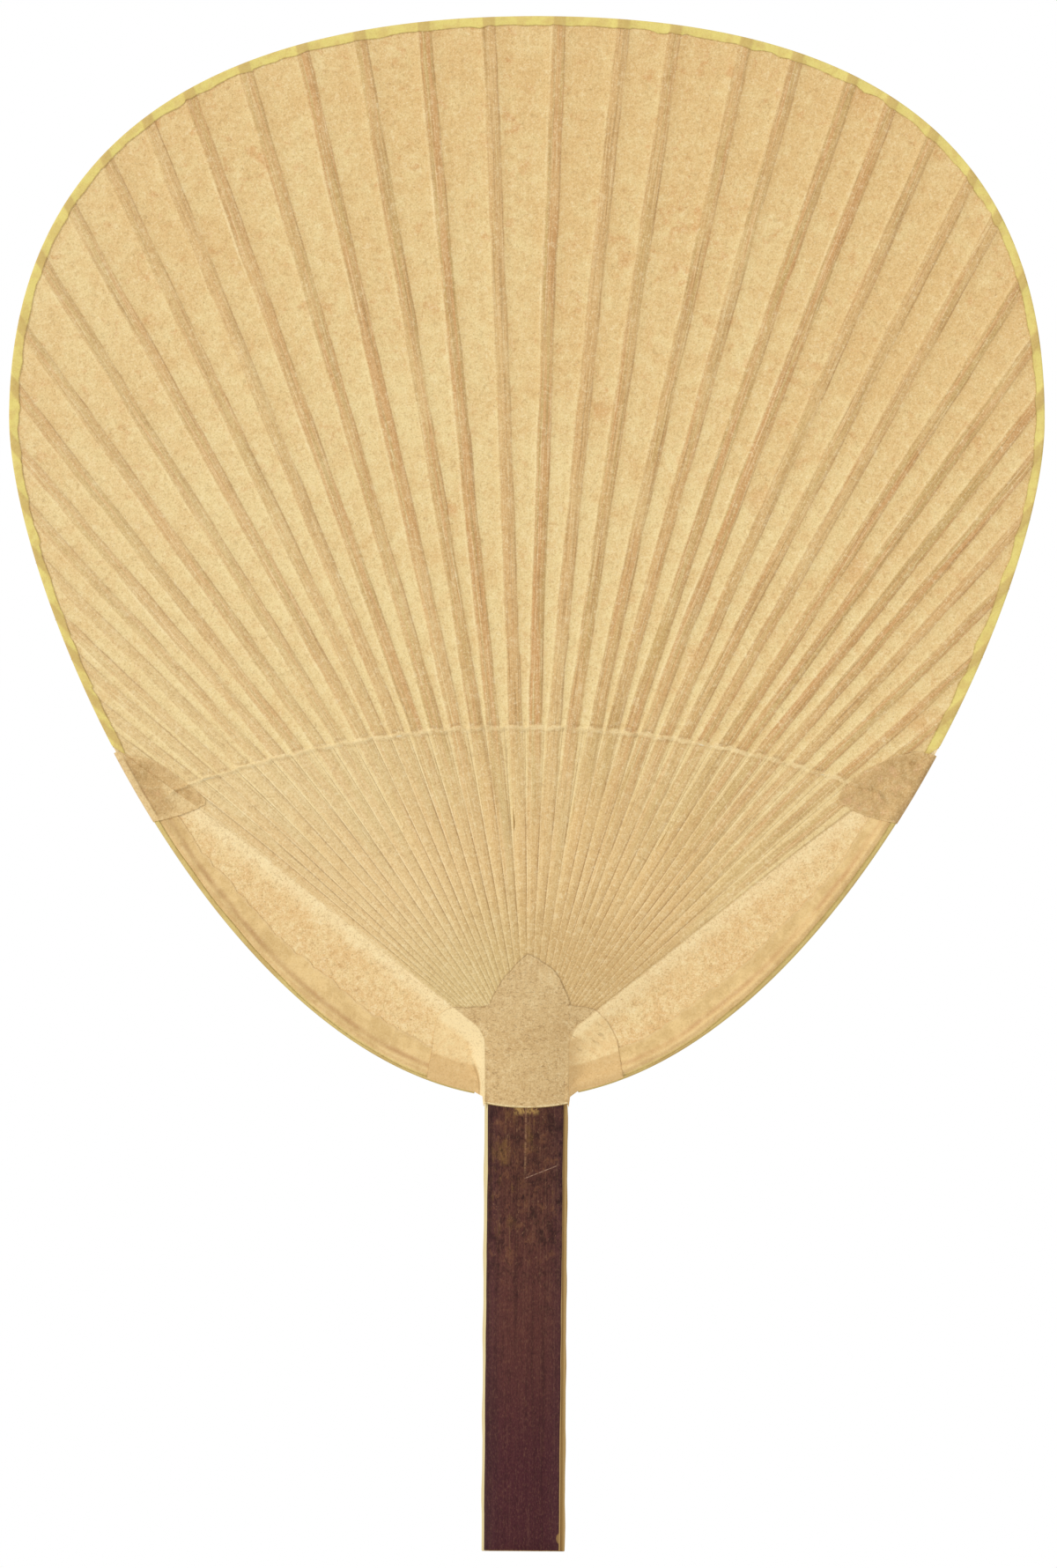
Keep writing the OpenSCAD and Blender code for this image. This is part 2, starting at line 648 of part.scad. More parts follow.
// Neck patch: a pointed dome over the ribs' roots with a lobe on each side, one on each face
dome_parts = 18;
neck_parts = 4;
patch_up = 0.3;
notch_u = 0.8;
function dome_top(u) =
    let (v = abs(u) / notch_u)
    v < 1 ? mix(dome_h, notch_h, pow(v, 1.1)) : mix(notch_h, lobe_h, (v - 1) / (rim_u / notch_u - 1));
function lobe_top(f) = mix(lobe_low, lobe_h, f) + lobe_bulge * sin(180 * f);
function neck_r(top) = concat(
    [tab_r + patch_up, foot_r, scoop_r, root_r],
    [for (i = [1 : neck_parts]) mix(root_r, top, i / neck_parts)]
);
lobe_share = [0, 0.1, 0.3, 0.6, 0.85];
function neck_side(side, i, row) =
    let (n = side_node(side, i, neck_r(lobe_top(lobe_share[i]))[row], -1), lift = cover_d - hem_d + paste)
    [n[0], n[1], n[2] + lift, n[3] + lift];
function neck_row(row) = concat(
    [for (i = [0 : side_cols - 1]) neck_side(-1, i, row)],
    [for (i = [0 : dome_parts])
        let (u = rim_u * (2 * i / dome_parts - 1))
        fan_node(u, neck_r(dome_top(u))[row], -1, true)],
    [for (i = [side_cols - 1 : -1 : 0]) neck_side(1, i, row)]
);
module neck_patch(side) {
    color("#d6b884")
        skin([for (row = [0 : neck_parts + 3]) neck_row(row)], side, hem_d + paste, hem_d + paste + strip_t);
}
module neck_patch_front() neck_patch(-1);
module neck_patch_back() neck_patch(1);

bamboo_slip();
bow();
thread();
front_paper();
back_paper();
rim_binding();
hem_left();
hem_right();
lower_binding_left();
lower_binding_right();
ear_left();
ear_right();
neck_patch_front();
neck_patch_back();
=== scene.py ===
import logging
import math
from collections.abc import Callable
from dataclasses import dataclass, field
from enum import Enum
from functools import cached_property

import bpy
import numpy as np
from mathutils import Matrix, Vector


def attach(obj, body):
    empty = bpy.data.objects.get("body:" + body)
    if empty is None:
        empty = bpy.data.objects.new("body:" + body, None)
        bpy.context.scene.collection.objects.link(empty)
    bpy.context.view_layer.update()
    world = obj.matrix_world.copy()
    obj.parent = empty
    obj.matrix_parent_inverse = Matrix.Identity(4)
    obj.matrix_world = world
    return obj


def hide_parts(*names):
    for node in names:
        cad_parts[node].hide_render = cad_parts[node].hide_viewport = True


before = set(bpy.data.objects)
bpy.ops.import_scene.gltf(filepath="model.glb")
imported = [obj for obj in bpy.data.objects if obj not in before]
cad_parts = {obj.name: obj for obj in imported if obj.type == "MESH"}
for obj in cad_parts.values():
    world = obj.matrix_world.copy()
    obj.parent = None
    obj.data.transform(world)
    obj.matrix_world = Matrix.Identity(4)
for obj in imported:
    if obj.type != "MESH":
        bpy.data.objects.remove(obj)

logging.basicConfig(level=logging.INFO, format="%(message)s")
log = logging.getLogger("uchiwa")
MM = 0.001
HALVINGS = 26
Numbers = np.ndarray


class Face(Enum):
    """Which face of the leaf a sheet lies on, as the sign of its Y."""

    FRONT = -1
    BACK = 1


class Hand(Enum):
    """Which side of the grip a piece lies on, as the sign of its X."""

    LEFT = -1
    RIGHT = 1


def mix(a: Numbers, b: Numbers, t: Numbers) -> Numbers:
    """Value between a and b at the share t."""
    return a + (b - a) * t


def ease(t: Numbers) -> Numbers:
    """Smooth step of t from 0 to 1."""
    k = np.clip(t, 0, 1)
    return k * k * (3 - 2 * k)


def bump(d: Numbers, width: float) -> Numbers:
    """Soft hill over d = 0, of that half width."""
    return np.exp(-((d / width) ** 2))


def bezier(points: list, t: Numbers) -> Numbers:
    """Point of a cubic curve.

    Args:
        points: The four control points, each an array that ends in x and z.
        t: Places on the curve, from 0 to 1.

    Returns:
        The points, in an array that ends in x and z.
    """
    k = np.asarray(t)[..., None]
    a, b, c, d = points
    return (1 - k) ** 3 * a + 3 * (1 - k) ** 2 * k * b + 3 * (1 - k) * k * k * c + k**3 * d


def pair(x: Numbers, z: Numbers) -> Numbers:
    """Array that ends in x and z."""
    x, z = np.broadcast_arrays(np.asarray(x, float), np.asarray(z, float))
    return np.stack([x, z], -1)


@dataclass(frozen=True)
class LeafPlan:
    """Lines of the leaf in millimetres: its outline, its ribs and how far the papers stand over them.

    A place on the fan is u, which runs from -1 to 1 over the ribs, and r, the distance from the fan point.
    The ribs' turns are their angles in degrees, and their drifts what they turn further in each drift_run
    beyond drift_r.
    """

    fan_h: float = 380.0
    leaf_w: float = 256.4
    wide_z: float = 280.2
    heel_z: float = 112.3
    crown: float = 0.569
    shoulder: float = 0.75
    hip: float = 0.269
    heel_run: float = 71.7
    leaf_shift: float = -1.0
    crown_shift: float = 2.9
    grip_w: float = 20.5
    grip_t: float = 5.0
    skin_r: float = 45.0
    fan_rise: float = 15.5
    rib_root: float = 3.4
    rib_w: float = 2.9
    rib_slim: float = 0.9
    rib_t: float = 0.5
    rib_gap: float = 0.08
    fill_share: float = 0.93
    thread_rise: float = 76.0
    thread_r: float = 246.0
    thread_stray: tuple = ((0.2, 1.3, 0.0), (0.16, 2.9, 1.0))
    paper_t: float = 0.2
    strip_t: float = 0.15
    paste: float = 0.05
    bow_d: float = 2.0
    bow_in: float = 1.8
    rim_w: float = 2.15
    hem_w: float = 6.5
    hem_least: float = 5.6
    hem_most: tuple = (8.4, 7.6)
    hem_middle: float = 35.0
    slope_w: float = 8.0
    tab_drop: float = 3.3
    tab_bow: float = 1.0
    tab_side: float = 0.2
    foot_side: float = 0.6
    heel_side: float = 2.6
    turns: tuple = (
        -54.9, -53.3, -51.3, -49.4, -46.8, -44.55, -41.8, -39.1, -35.8, -32.6, -29.1, -26.25, -23.3,
        -20.1, -16.65, -13.2, -9.55, -6.55, -2.45, 1.15, 4.6, 8.05, 12.0, 15.1, 18.2, 21.1, 24.25, 27.35,
        30.45, 33.85, 36.55, 39.3, 41.9, 44.7, 47.5, 50.5, 53.3,
    )  # fmt: skip
    drifts: tuple = (
        1.0, 1.2, 1.35, 1.1, 0.8, 0.8, 0.4, 0.3, -0.05, 0.1, -0.1, 0.15, 0.25, 0.0, 0.0, 0.0, -0.2, 0.2,
        -0.05, 0.2, 0.3, 0.0, 0.05, 0.0, 0.15, -0.05, -0.2, -0.2, -0.6, -0.65, -0.55, -0.65, -0.95, -1.2,
        -1.3, -1.45, -1.85,
    )  # fmt: skip
    drift_r: float = 86.0
    drift_run: float = 100.0
    corner_room: float = 1.25
    level_r: float = 50.0
    root_r: float = -5.0
    scoop_r: float = -10.5
    foot_r: float = -15.3
    elbow: float = 4.0
    fan_foot: float = 0.7
    settle: float = 6.0

    @property
    def ribs(self) -> int:
        """Number of ribs."""
        return len(self.turns)

    @property
    def steps(self) -> float:
        """Ribs on each side of the middle one."""
        return (self.ribs - 1) / 2

    @property
    def fan_z(self) -> float:
        """Height of the point from which the ribs fan out."""
        return self.heel_z + self.fan_rise

    @property
    def tab_r(self) -> float:
        """Distance of the papers' lower end from the fan point."""
        return -self.fan_rise - self.tab_drop

    def tab_end(self, u: Numbers) -> Numbers:
        """Distance of the papers' lower end from the fan point at u: it hangs lowest in the middle."""
        return self.tab_r + self.tab_bow * np.minimum(np.abs(u), 1) ** 2

    @property
    def rim_u(self) -> float:
        """Place of the leaf's corner columns, half a rib beyond the outermost ribs."""
        return 1 + 0.5 / self.steps

    @property
    def root_half(self) -> float:
        """Half width over which the slip is split."""
        return self.grip_w / 2 / self.rim_u

    @property
    def wrap_in(self) -> float:
        """Depth of the papers' rim inside the outline."""
        return self.strip_t + self.paste

    def curves(self, hand: Numbers) -> tuple:
        """Control points of the crown's and the heel's curves on one side, with x away from the middle."""
        half, c, s = self.leaf_w / 2, hand * self.crown_shift, hand * self.leaf_shift
        crown = [
            pair(c, self.fan_h),
            pair(self.crown * half + c, self.fan_h),
            pair(half + s, mix(self.wide_z, self.fan_h, self.shoulder)),
            pair(half + s, self.wide_z),
        ]
        heel = [
            pair(half + s, self.wide_z),
            pair(half + s, mix(self.wide_z, self.heel_z, self.hip)),
            pair(self.heel_run + s, self.heel_z),
            pair(s, self.heel_z),
        ]
        return crown, heel

    def edge(self, s: Numbers, hand: Numbers) -> Numbers:
        """Point of the outline: s runs from 0 at the crown over 1 at the widest line to 2 at the heel."""
        crown, heel = self.curves(np.asarray(hand, float))
        s = np.asarray(s, float)
        up, low = bezier(crown, np.clip(s, 0, 1)), bezier(heel, np.clip(s - 1, 0, 1))
        return np.where((s < 1)[..., None], up, low)

    def inward(self, s: Numbers, hand: Numbers) -> Numbers:
        """Unit vector into the leaf, square to its outline."""
        along = self.edge(np.asarray(s) + 0.001, hand) - self.edge(np.asarray(s) - 0.001, hand)
        along = along / np.linalg.norm(along, axis=-1, keepdims=True)
        return np.stack([along[..., 1], -along[..., 0]], -1)

    def inset(self, s: Numbers, d: Numbers, hand: Numbers) -> Numbers:
        """Point d inside the outline."""
        return self.edge(s, hand) + self.inward(s, hand) * np.asarray(d, float)[..., None]

    def edge_at(self, turn: Numbers, hand: Numbers) -> Numbers:
        """Place on the outline that a ray from the fan point meets, turned that far from the middle."""
        turn = np.asarray(turn, float)
        lo, hi = np.zeros_like(turn), np.full_like(turn, 1.98)
        for _ in range(HALVINGS):
            m = (lo + hi) / 2
            p = self.inset(m, self.wrap_in, hand)
            short = np.degrees(np.arctan2(p[..., 0], p[..., 1] - self.fan_z)) < turn
            lo, hi = np.where(short, m, lo), np.where(short, hi, m)
        return (lo + hi) / 2

    def edge_x(self, x: float, hand: float) -> float:
        """Place on the lower edge at that x."""
        lo, hi = 1.5, 2.0
        for _ in range(HALVINGS):
            m = (lo + hi) / 2
            lo, hi = (m, hi) if self.edge(m, hand)[0] > x else (lo, m)
        return (lo + hi) / 2

    def turn(self, u: Numbers, r: Numbers = 0.0) -> Numbers:
        """Angle of the fan at u, r, in degrees."""
        a = np.array(self.turns)
        at = np.asarray(u, float) * self.steps + self.steps
        last = self.ribs - 1
        low = a[0] + (a[1] - a[0]) * np.minimum(at, 0)
        high = a[-1] + (a[-1] - a[-2]) * self.corner_room * np.maximum(at - last, 0)
        straight = np.where(at < 0, low, np.where(at > last, high, np.interp(at, np.arange(self.ribs), a)))
        lean = np.interp(at, np.arange(-1, self.ribs + 1), (0, *self.drifts, 0))
        return straight + lean * np.maximum(np.asarray(r) - self.drift_r, 0) / self.drift_run

    def gap_turn(self, u: Numbers, r: Numbers = 0.0) -> Numbers:
        """Angle between neighbouring ribs at u, in degrees."""
        step = 0.5 / self.steps
        return self.turn(np.asarray(u) + step, r) - self.turn(np.asarray(u) - step, r)

    def apart(self, gap: Numbers, r: Numbers, root: float) -> Numbers:
        """Distance between two places of the fan that many degrees apart, which is root at the split."""
        r = np.asarray(r, float)
        return mix(root, np.maximum(r, self.drift_r) * np.radians(gap), np.clip(r / self.drift_r, 0, 1))

    def pitch(self, u: Numbers, r: Numbers) -> Numbers:
        """Distance between neighbouring ribs."""
        return self.apart(self.gap_turn(u, r), r, self.root_half / self.steps)

    def straight(self, u: Numbers, r: Numbers) -> Numbers:
        """Point of a rib's straight run from the split, which lies along the fan's ray beyond the thread."""
        a = np.radians(self.turn(u, r))
        left = np.logaddexp(0, (self.drift_r - r) / self.settle)
        left = left / np.logaddexp(0, self.drift_r / self.settle)
        return pair(
            r * np.sin(a) + u * self.root_half * left, self.fan_z + r * np.cos(a) + self.fan_foot * left
        )

    def fan_point(self, u: Numbers, r: Numbers) -> Numbers:
        """Point of the fan at u, r from the fan point."""
        u, r = np.broadcast_arrays(np.asarray(u, float), np.asarray(r, float))
        foot = pair(u * self.root_half, self.fan_z + self.fan_foot)
        below = pair(u * self.root_half, self.fan_z + self.fan_foot + np.minimum(r, 0))
        start, end = foot - pair(0, self.elbow), self.straight(u, np.full_like(r, self.elbow))
        t = np.clip(r / self.elbow / 2 + 0.5, 0, 1)[..., None]
        bent = (1 - t) ** 2 * start + 2 * (1 - t) * t * foot + t * t * end
        far = self.straight(u, np.maximum(r, 0.0))
        bent = np.where((r >= self.elbow)[..., None], far, bent)
        return np.where((r <= -self.elbow)[..., None], below, bent)

    def thread_at(self, turn: Numbers) -> Numbers:
        """Distance of the thread from the fan point at an angle in degrees."""
        h, a = self.thread_r - self.thread_rise, np.radians(turn)
        stray = sum(size * np.sin(np.asarray(turn) * pace + start) for size, pace, start in self.thread_stray)
        return np.sqrt(self.thread_r**2 - (h * np.sin(a)) ** 2) - h * np.cos(a) + stray

    @cached_property
    def rim_table(self) -> tuple:
        """Angles in degrees and the distances of the papers' rim from the fan point at them."""
        a = np.linspace(-62, 62, 2481)
        hand = np.where(a < 0, -1.0, 1.0)
        p = self.inset(self.edge_at(np.abs(a), hand), self.wrap_in, hand)
        return a, np.hypot(p[..., 0], p[..., 1] - self.fan_z)

    def to_rim(self, a: Numbers) -> Numbers:
        """Distance of the papers' rim from the fan point at an angle in degrees."""
        return np.interp(a, *self.rim_table)

    def rim_at(self, u: Numbers) -> Numbers:
        """Distance of the papers' rim from the fan point at u."""
        r = self.to_rim(self.turn(u))
        for _ in range(3):
            r = self.to_rim(self.turn(u, r))
        return r

    def rim_band(self, u: Numbers, r: Numbers, width: Numbers) -> Numbers:
        """Length along the fan's ray at u, r that a band of that width covers at the rim."""
        a = self.turn(u, r)
        hand = np.where(a < 0, -1.0, 1.0)
        n = self.inward(self.edge_at(np.abs(a), hand), hand)
        facing = -(n[..., 0] * np.sin(np.radians(np.abs(a))) + n[..., 1] * np.cos(np.radians(a)))
        return width / np.maximum(facing, 0.3)

    def sag(self, x: Numbers) -> Numbers:
        """Fall of the slip's rounded skin at x."""
        return x * x / 2 / self.skin_r

    def rib_wide(self, u: Numbers, r: Numbers) -> Numbers:
        """Width of the rib across its flat."""
        v = np.clip(u, -1, 1)
        root = self.rib_root - self.sag(v * self.root_half)
        return mix(root, self.rib_w - self.rib_slim * v * v, ease(np.asarray(r) / self.thread_rise))

    def rib_flat(self, u: Numbers, r: Numbers) -> Numbers:
        """How flat the rib lies, from 0 edge-on at the split to 1 in the leaf."""
        root = self.root_half / self.steps
        return np.clip(self.fill_share * (self.pitch(u, r) - root) / self.rib_wide(u, r), 0, 1)

    def rib_seen(self, u: Numbers, r: Numbers) -> Numbers:
        """Half width of the rib as seen from the front."""
        s = self.rib_flat(u, r)
        return self.rib_wide(u, r) / 2 * s + self.rib_t / 2 * np.sqrt(1 - s * s)

    def rib_middle(self, u: Numbers, r: Numbers) -> Numbers:
        """Distance of the rib's middle behind the leaf's: it starts flush with the slip's skin."""
        sunk = (self.rib_root + self.sag(u * self.root_half)) / 2 - self.grip_t / 2
        return sunk * (1 - ease(np.asarray(r) / self.level_r))

    def level(self, u: Numbers, r: Numbers, face: Face) -> Numbers:
        """Half gap of the papers over the ribs."""
        v = np.clip(u, -1, 1)
        s = self.rib_flat(v, r)
        reach = self.rib_wide(v, r) / 2 * np.sqrt(1 - s * s) + self.rib_t / 2 * s + self.rib_gap
        over = reach + face.value * self.rib_middle(v, r)
        slip = self.grip_t / 2 + self.paste - (self.sag(u * self.root_half) if face is Face.FRONT else 0)
        return mix(slip, over, ease((np.asarray(r) - self.root_r) / 4))

    def side_ends(self, hand: Hand) -> tuple:
        """Places on the outline where the lower edge of the leaf begins and ends."""
        turn = abs(float(self.turn(hand.value * self.rim_u)))
        corner = float(self.edge_at(turn, float(hand.value)))
        return self.edge_x(self.grip_w / 2 + self.heel_side, float(hand.value)), corner + 0.002

    def low_s(self, r: Numbers, hand: Hand) -> Numbers:
        """Place on the outline of the lower edge beside r."""
        start, end = self.side_ends(hand)
        corner = float(self.rim_at(hand.value * self.rim_u))
        return mix(start, end, np.clip((np.asarray(r) - self.scoop_r) / (corner - self.scoop_r), 0, 1))

    def hem_deep(self, r: Numbers, hand: Hand) -> Numbers:
        """Depth of the hem inside the lower edge beside r."""
        away = np.abs(np.asarray(r) - self.hem_middle) / self.hem_middle / 2
        return mix(self.hem_least, self.hem_most[hand is Hand.RIGHT], ease(1 - away))

    def pressed(self, d: Numbers, hem: Numbers, face: Face) -> Numbers:
        """Lift of a patch pasted on last, d inside the edge: it drops from strip to hem to leaf."""
        low = self.paper_t + self.strip_t + 2 * self.paste
        over_hem = low + self.strip_t
        over_strip = over_hem + self.strip_t + 2 * self.paste
        strip, drop = (1.0 if face is Face.FRONT else 2.1), 0.7
        return mix(mix(over_strip, over_hem, ease((d - strip) / drop)), low, ease((d - hem - drop) / drop))

    def low_point(self, r: Numbers, hand: Hand) -> Numbers:
        """Point of the lower edge beside r, with x away from the middle."""
        r, half = np.asarray(r, float), self.grip_w / 2
        tab = pair(half + self.tab_side, self.fan_z + self.tab_r)
        foot = pair(half + self.foot_side, self.fan_z + self.foot_r)
        heel = self.inset(self.low_s(r, hand), self.wrap_in, float(hand.value))
        up = np.clip((r - self.tab_r) / (self.foot_r - self.tab_r), 0, 1)[..., None]
        out = np.clip((r - self.foot_r) / (self.scoop_r - self.foot_r), 0, 1)[..., None]
        return np.where((r < self.foot_r)[..., None], mix(tab, foot, up), mix(foot, heel, out))


PLAN = LeafPlan()


@dataclass
class Patch:
    """Grid of points of the leaf with what its finish needs to know at each of them.

    Fields:
        at: Points x and z, in an array of rows by columns by 2.
        gap: Distance of the papers' inner face from the middle plane.
        line: Rib count, distance from the fan point, and pitch; on a side panel the last is the distance
            from the fan.
        zone: Half width of the rib, distance beyond the thread, and 0; on a side panel distance from the
            lower edge, distance beyond the thread, and 1.
    """

    at: Numbers
    gap: Numbers
    line: Numbers
    zone: Numbers


@dataclass(frozen=True)
class Pleats:
    """Columns of the fan: how the papers fall from each rib into the valleys beside it.

    The cord_tops are the gaps over the thread: where it passes over the rib, under it, beside it and
    in the valley.
    """

    plan: LeafPlan
    face: Face
    slope: float = 0.55
    fall: float = 0.25
    ridge: float = 0.05
    tilt: float = 0.1
    rib_share: tuple = (0.2, 0.74)
    foot_most: float = 0.86
    least_step: float = 0.08
    cord_tops: tuple = (0.86, 0.66, 0.68, 0.6)
    cord_half: float = 0.5
    cord_lift: float = 0.09
    first: int = 0
    last: int = 36

    def nodes(self) -> tuple:
        """Rib number and kind of each column; the kinds run from -4, the left valley, to 4, the right one."""
        kinds = [-4, -3, -2, -1, 0, 1, 2, 3]
        rib = np.repeat(np.arange(self.first, self.last + 1), len(kinds))
        kind = np.tile(kinds, self.last - self.first + 1)
        return np.append(rib, self.last), np.append(kind, 4)

    def columns(self, r: Numbers) -> tuple:
        """Where the columns lie: their share of the way from rib to valley, and half the rib's room.

        Args:
            r: Distances from the fan point, in an array of rows by columns.

        Returns:
            The shares, from -1 to 1, and the half distances in millimetres.
        """
        p = self.plan
        rib, kind = self.nodes()
        u_rib = rib / p.steps - 1
        left = p.turn(u_rib, r) - p.turn(u_rib - 0.5 / p.steps, r)
        right = p.turn(u_rib + 0.5 / p.steps, r) - p.turn(u_rib, r)
        half = p.apart(np.where(kind < 0, left, right), r, p.root_half / p.steps / 2)
        seen = p.rib_seen(u_rib, r)
        edge = np.clip(seen / half, *self.rib_share)
        foot = np.clip((seen + self.slope) / half, edge + self.least_step, self.foot_most)
        share = {0: 0 * half, 1: edge, 2: foot, 3: (foot + 1) / 2, 4: 0 * half + 1}
        return np.select([np.abs(kind) == k for k in share], list(share.values())) * np.sign(kind), half

    def patch(self, rows: object) -> Patch:
        """Grid over these ribs.

        Args:
            rows: Gives the distances from the fan point, in rows by columns, for the columns' places u.

        Returns:
            The grid.
        """
        p = self.plan
        rib, kind = self.nodes()
        u_rib = rib / p.steps - 1
        r = rows(u_rib + kind / 8 / p.steps)
        for _ in range(3):
            f, half = self.columns(r)
            u = (rib + f / 2) / p.steps - 1
            r = rows(u)
        seen = p.rib_seen(u_rib, r)
        level = p.level(u, r, self.face)
        s = p.rib_flat(u_rib, r)
        twist = np.sqrt(1 - s * s) * ease((r - 6) / 20)
        weave = p.thread_at(p.turn(u))
        lift = self.fall * mix(0.45, 1, ease((r - weave + 6) / 12)) * ease((r - 2) / 25)
        low = -np.minimum(lift, np.maximum(level - 0.1, 0))
        lean = np.sign(kind) * self.face.value
        off = np.abs(kind)
        rise = np.where(off < 2, 0.0, np.where(off == 2, 0.9 * low, low))
        rise = rise + np.where(off == 1, np.where(lean > 0, self.ridge, -self.tilt) * twist, 0)
        gap = level + rise
        past = r - weave
        over, under, beside, valley = self.cord_tops
        is_over = (rib % 2 == 0) == (self.face is Face.FRONT)
        top = np.where(off < 2, np.where(is_over, over, under), np.where(off == 2, beside, valley))
        top = top + 0.05 * np.sin(u * 61) + 0.04 * np.sin(u * 143 + 1)
        gap = np.maximum(gap, mix(gap, np.maximum(top, gap + self.cord_lift), bump(past, self.cord_half)))
        count = rib + 0.5 + np.where(off == 4, np.sign(kind) * 0.4999, f / 2)
        line = np.stack(np.broadcast_arrays(count, r, 2 * half), -1)
        zone = np.stack(np.broadcast_arrays(seen, past, 0.0), -1)
        return Patch(p.fan_point(u, r), gap, line, zone)


@dataclass(frozen=True)
class SidePanel:
    """The papers between the outermost rib and the lower edge, with the bow inside their hem."""

    plan: LeafPlan
    hand: Hand
    face: Face
    near: tuple = (0, 0.35, 0.8, 1.3, 1.8, 2.3, 2.9, 3.6, 4.6, 6.5)
    far: tuple = (8, 6.6, 5.2, 3.9, 2.7, 1.6, 0.7)
    hem_most: float = 0.62
    foot_least: float = 0.86
    bow_room: float = 0.12
    bow_slope: float = 2.1
    edge_gap: float = 0.5
    sheet_gap: float = 0.12
    knot_gap: float = 0.85
    knot: tuple = (90.0, 16.0)
    tip_gap: float = 0.3
    tip: tuple = (106.0, 6.0)

    def shares(self, run: Numbers, long: Numbers) -> Numbers:
        """Shares of the way from the lower edge to the fan, one for each column."""
        hem = np.minimum(self.plan.hem_w / run, self.hem_most)
        foot = np.maximum(1 - self.plan.slope_w / long, self.foot_least)
        first = [hem * d / self.near[-1] for d in self.near]
        middle = [mix(hem, foot, k / 5) for k in range(1, 5)]
        last = [1 - (1 - foot) * g / self.far[0] for g in self.far]
        return np.stack(first + middle + last, -1)

    def spread(self, r: Numbers) -> tuple:
        """Lower edge, fan column, run between them square to the edge, and their distance, beside each r."""
        p = self.plan
        b = p.fan_point(self.hand.value * p.rim_u, r) * np.array([self.hand.value, 1])
        e = p.low_point(r, self.hand)
        n = p.inward(p.low_s(r, self.hand), float(self.hand.value))
        return e, b, np.maximum(((b - e) * n).sum(-1), 0.3), np.linalg.norm(b - e, axis=-1)

    def root_gap(self, r: Numbers) -> Numbers:
        """Half gap on the fan column that the panel starts from."""
        p = self.plan
        u = self.hand.value * p.rim_u
        level = p.level(u, r, self.face)
        low = np.minimum(0.25 * ease((r - 2) / 25), np.maximum(level - 0.1, 0))
        past = r - p.thread_at(p.turn(u))
        gap = level - low
        return np.maximum(gap, mix(gap, np.maximum(0.6, gap + 0.12), bump(past, 0.5)))

    def patch(self, r: Numbers, share: Numbers) -> Patch:
        """Grid of the panel.

        Args:
            r: Distances from the fan point, one for each row.
            share: Shares of the way from the edge to the fan, in an array of rows by columns.

        Returns:
            The grid.
        """
        p = self.plan
        e, b, run, long = self.spread(r)
        at = mix(e[:, None], b[:, None], share[..., None])
        d, g = share * run[:, None], (1 - share) * long[:, None]
        at_knot, at_tip = (ease((r - start) / far)[:, None] for start, far in (self.knot, self.tip))
        bow_top = mix(p.bow_d / 2 + self.bow_room, self.knot_gap, at_knot)
        up = mix(self.edge_gap, bow_top, ease(d / p.bow_in))
        down = mix(bow_top, self.sheet_gap, ease((d - p.bow_in) / self.bow_slope))
        base = mix(np.where(d < p.bow_in, up, down), self.tip_gap, at_tip)
        fall = 1 - ease(g / p.slope_w)
        gap = np.maximum(base, self.root_gap(r)[:, None] * fall)
        past = r[:, None] - p.thread_at(p.turn(self.hand.value * p.rim_u))
        gap = np.maximum(gap, mix(gap, np.maximum(gap, 0.55 * share + 0.2), bump(past, 0.6)))
        at = at * np.array([self.hand.value, 1])
        count = 0.0 if self.hand is Hand.LEFT else float(p.ribs)
        rr = np.broadcast_to(r[:, None], d.shape)
        line = np.stack(np.broadcast_arrays(count, rr, g), -1)
        zone = np.stack(np.broadcast_arrays(d, past, 1.0), -1)
        return Patch(at, gap, line, zone)

    def outward(self, r: Numbers) -> Numbers:
        """Unit vector out of the leaf at the lower edge, in the object's x and z."""
        n = self.plan.inward(self.plan.low_s(r, self.hand), float(self.hand.value))
        return -n * np.array([self.hand.value, 1])


def stacked(rows: list) -> Numbers:
    """Rows by columns out of rows that were each worked out for one place, or for every row's own place."""
    out = np.stack(rows)
    own = np.arange(len(out))
    return out if out.ndim == 2 else out[own, own]


NEAR_ROOT = (5.0, 12.0, 24.0)
ROWS_BELOW = (2, 3, 3, 8, 4, 5)
OVER_THREAD = (-1.5, -0.9, -0.5, -0.2, 0.1, 0.4, 0.8, 1.4, 2.5)


def rows_of(plan: LeafPlan, u: Numbers) -> Numbers:
    """Distances of a paper's rows from the fan point, in an array of rows by columns."""
    u = np.asarray(u, float)
    rim, weave = plan.rim_at(u), plan.thread_at(plan.turn(u))
    marks = [plan.tab_end(u), plan.foot_r, plan.scoop_r, plan.root_r, *NEAR_ROOT]
    out = []
    for a, b, n in zip(marks, marks[1:], ROWS_BELOW):
        out += [mix(a, b, k / n) + 0 * u for k in range(n)]
    out += [mix(marks[-1], weave - 2.5, k / 11) for k in range(12)]
    out += [weave + d for d in OVER_THREAD]
    out += [mix(weave + OVER_THREAD[-1], rim - 2, k / 26) for k in range(1, 27)]
    return stacked(out + [rim - 1, rim])


def spread(grid: Patch, face: Face, lift: float) -> Numbers:
    """Points of a grid in space, lift outside the papers' inner faces."""
    y = face.value * (grid.gap + lift)
    return np.stack([grid.at[..., 0], y, grid.at[..., 1]], -1)


def side_by_side(*grids: Patch) -> Patch:
    """One grid out of several that lie beside one another."""
    return Patch(*[np.concatenate([getattr(g, k) for g in grids], 1) for k in ("at", "gap", "line", "zone")])


def turned(grid: Patch) -> Patch:
    """The grid with its columns in the other order."""
    return Patch(grid.at[:, ::-1], grid.gap[:, ::-1], grid.line[:, ::-1], grid.zone[:, ::-1])


def only(obj: bpy.types.Object) -> None:
    """Selects this object alone."""
    bpy.ops.object.select_all(action="DESELECT")
    obj.select_set(True)
    bpy.context.view_layer.objects.active = obj


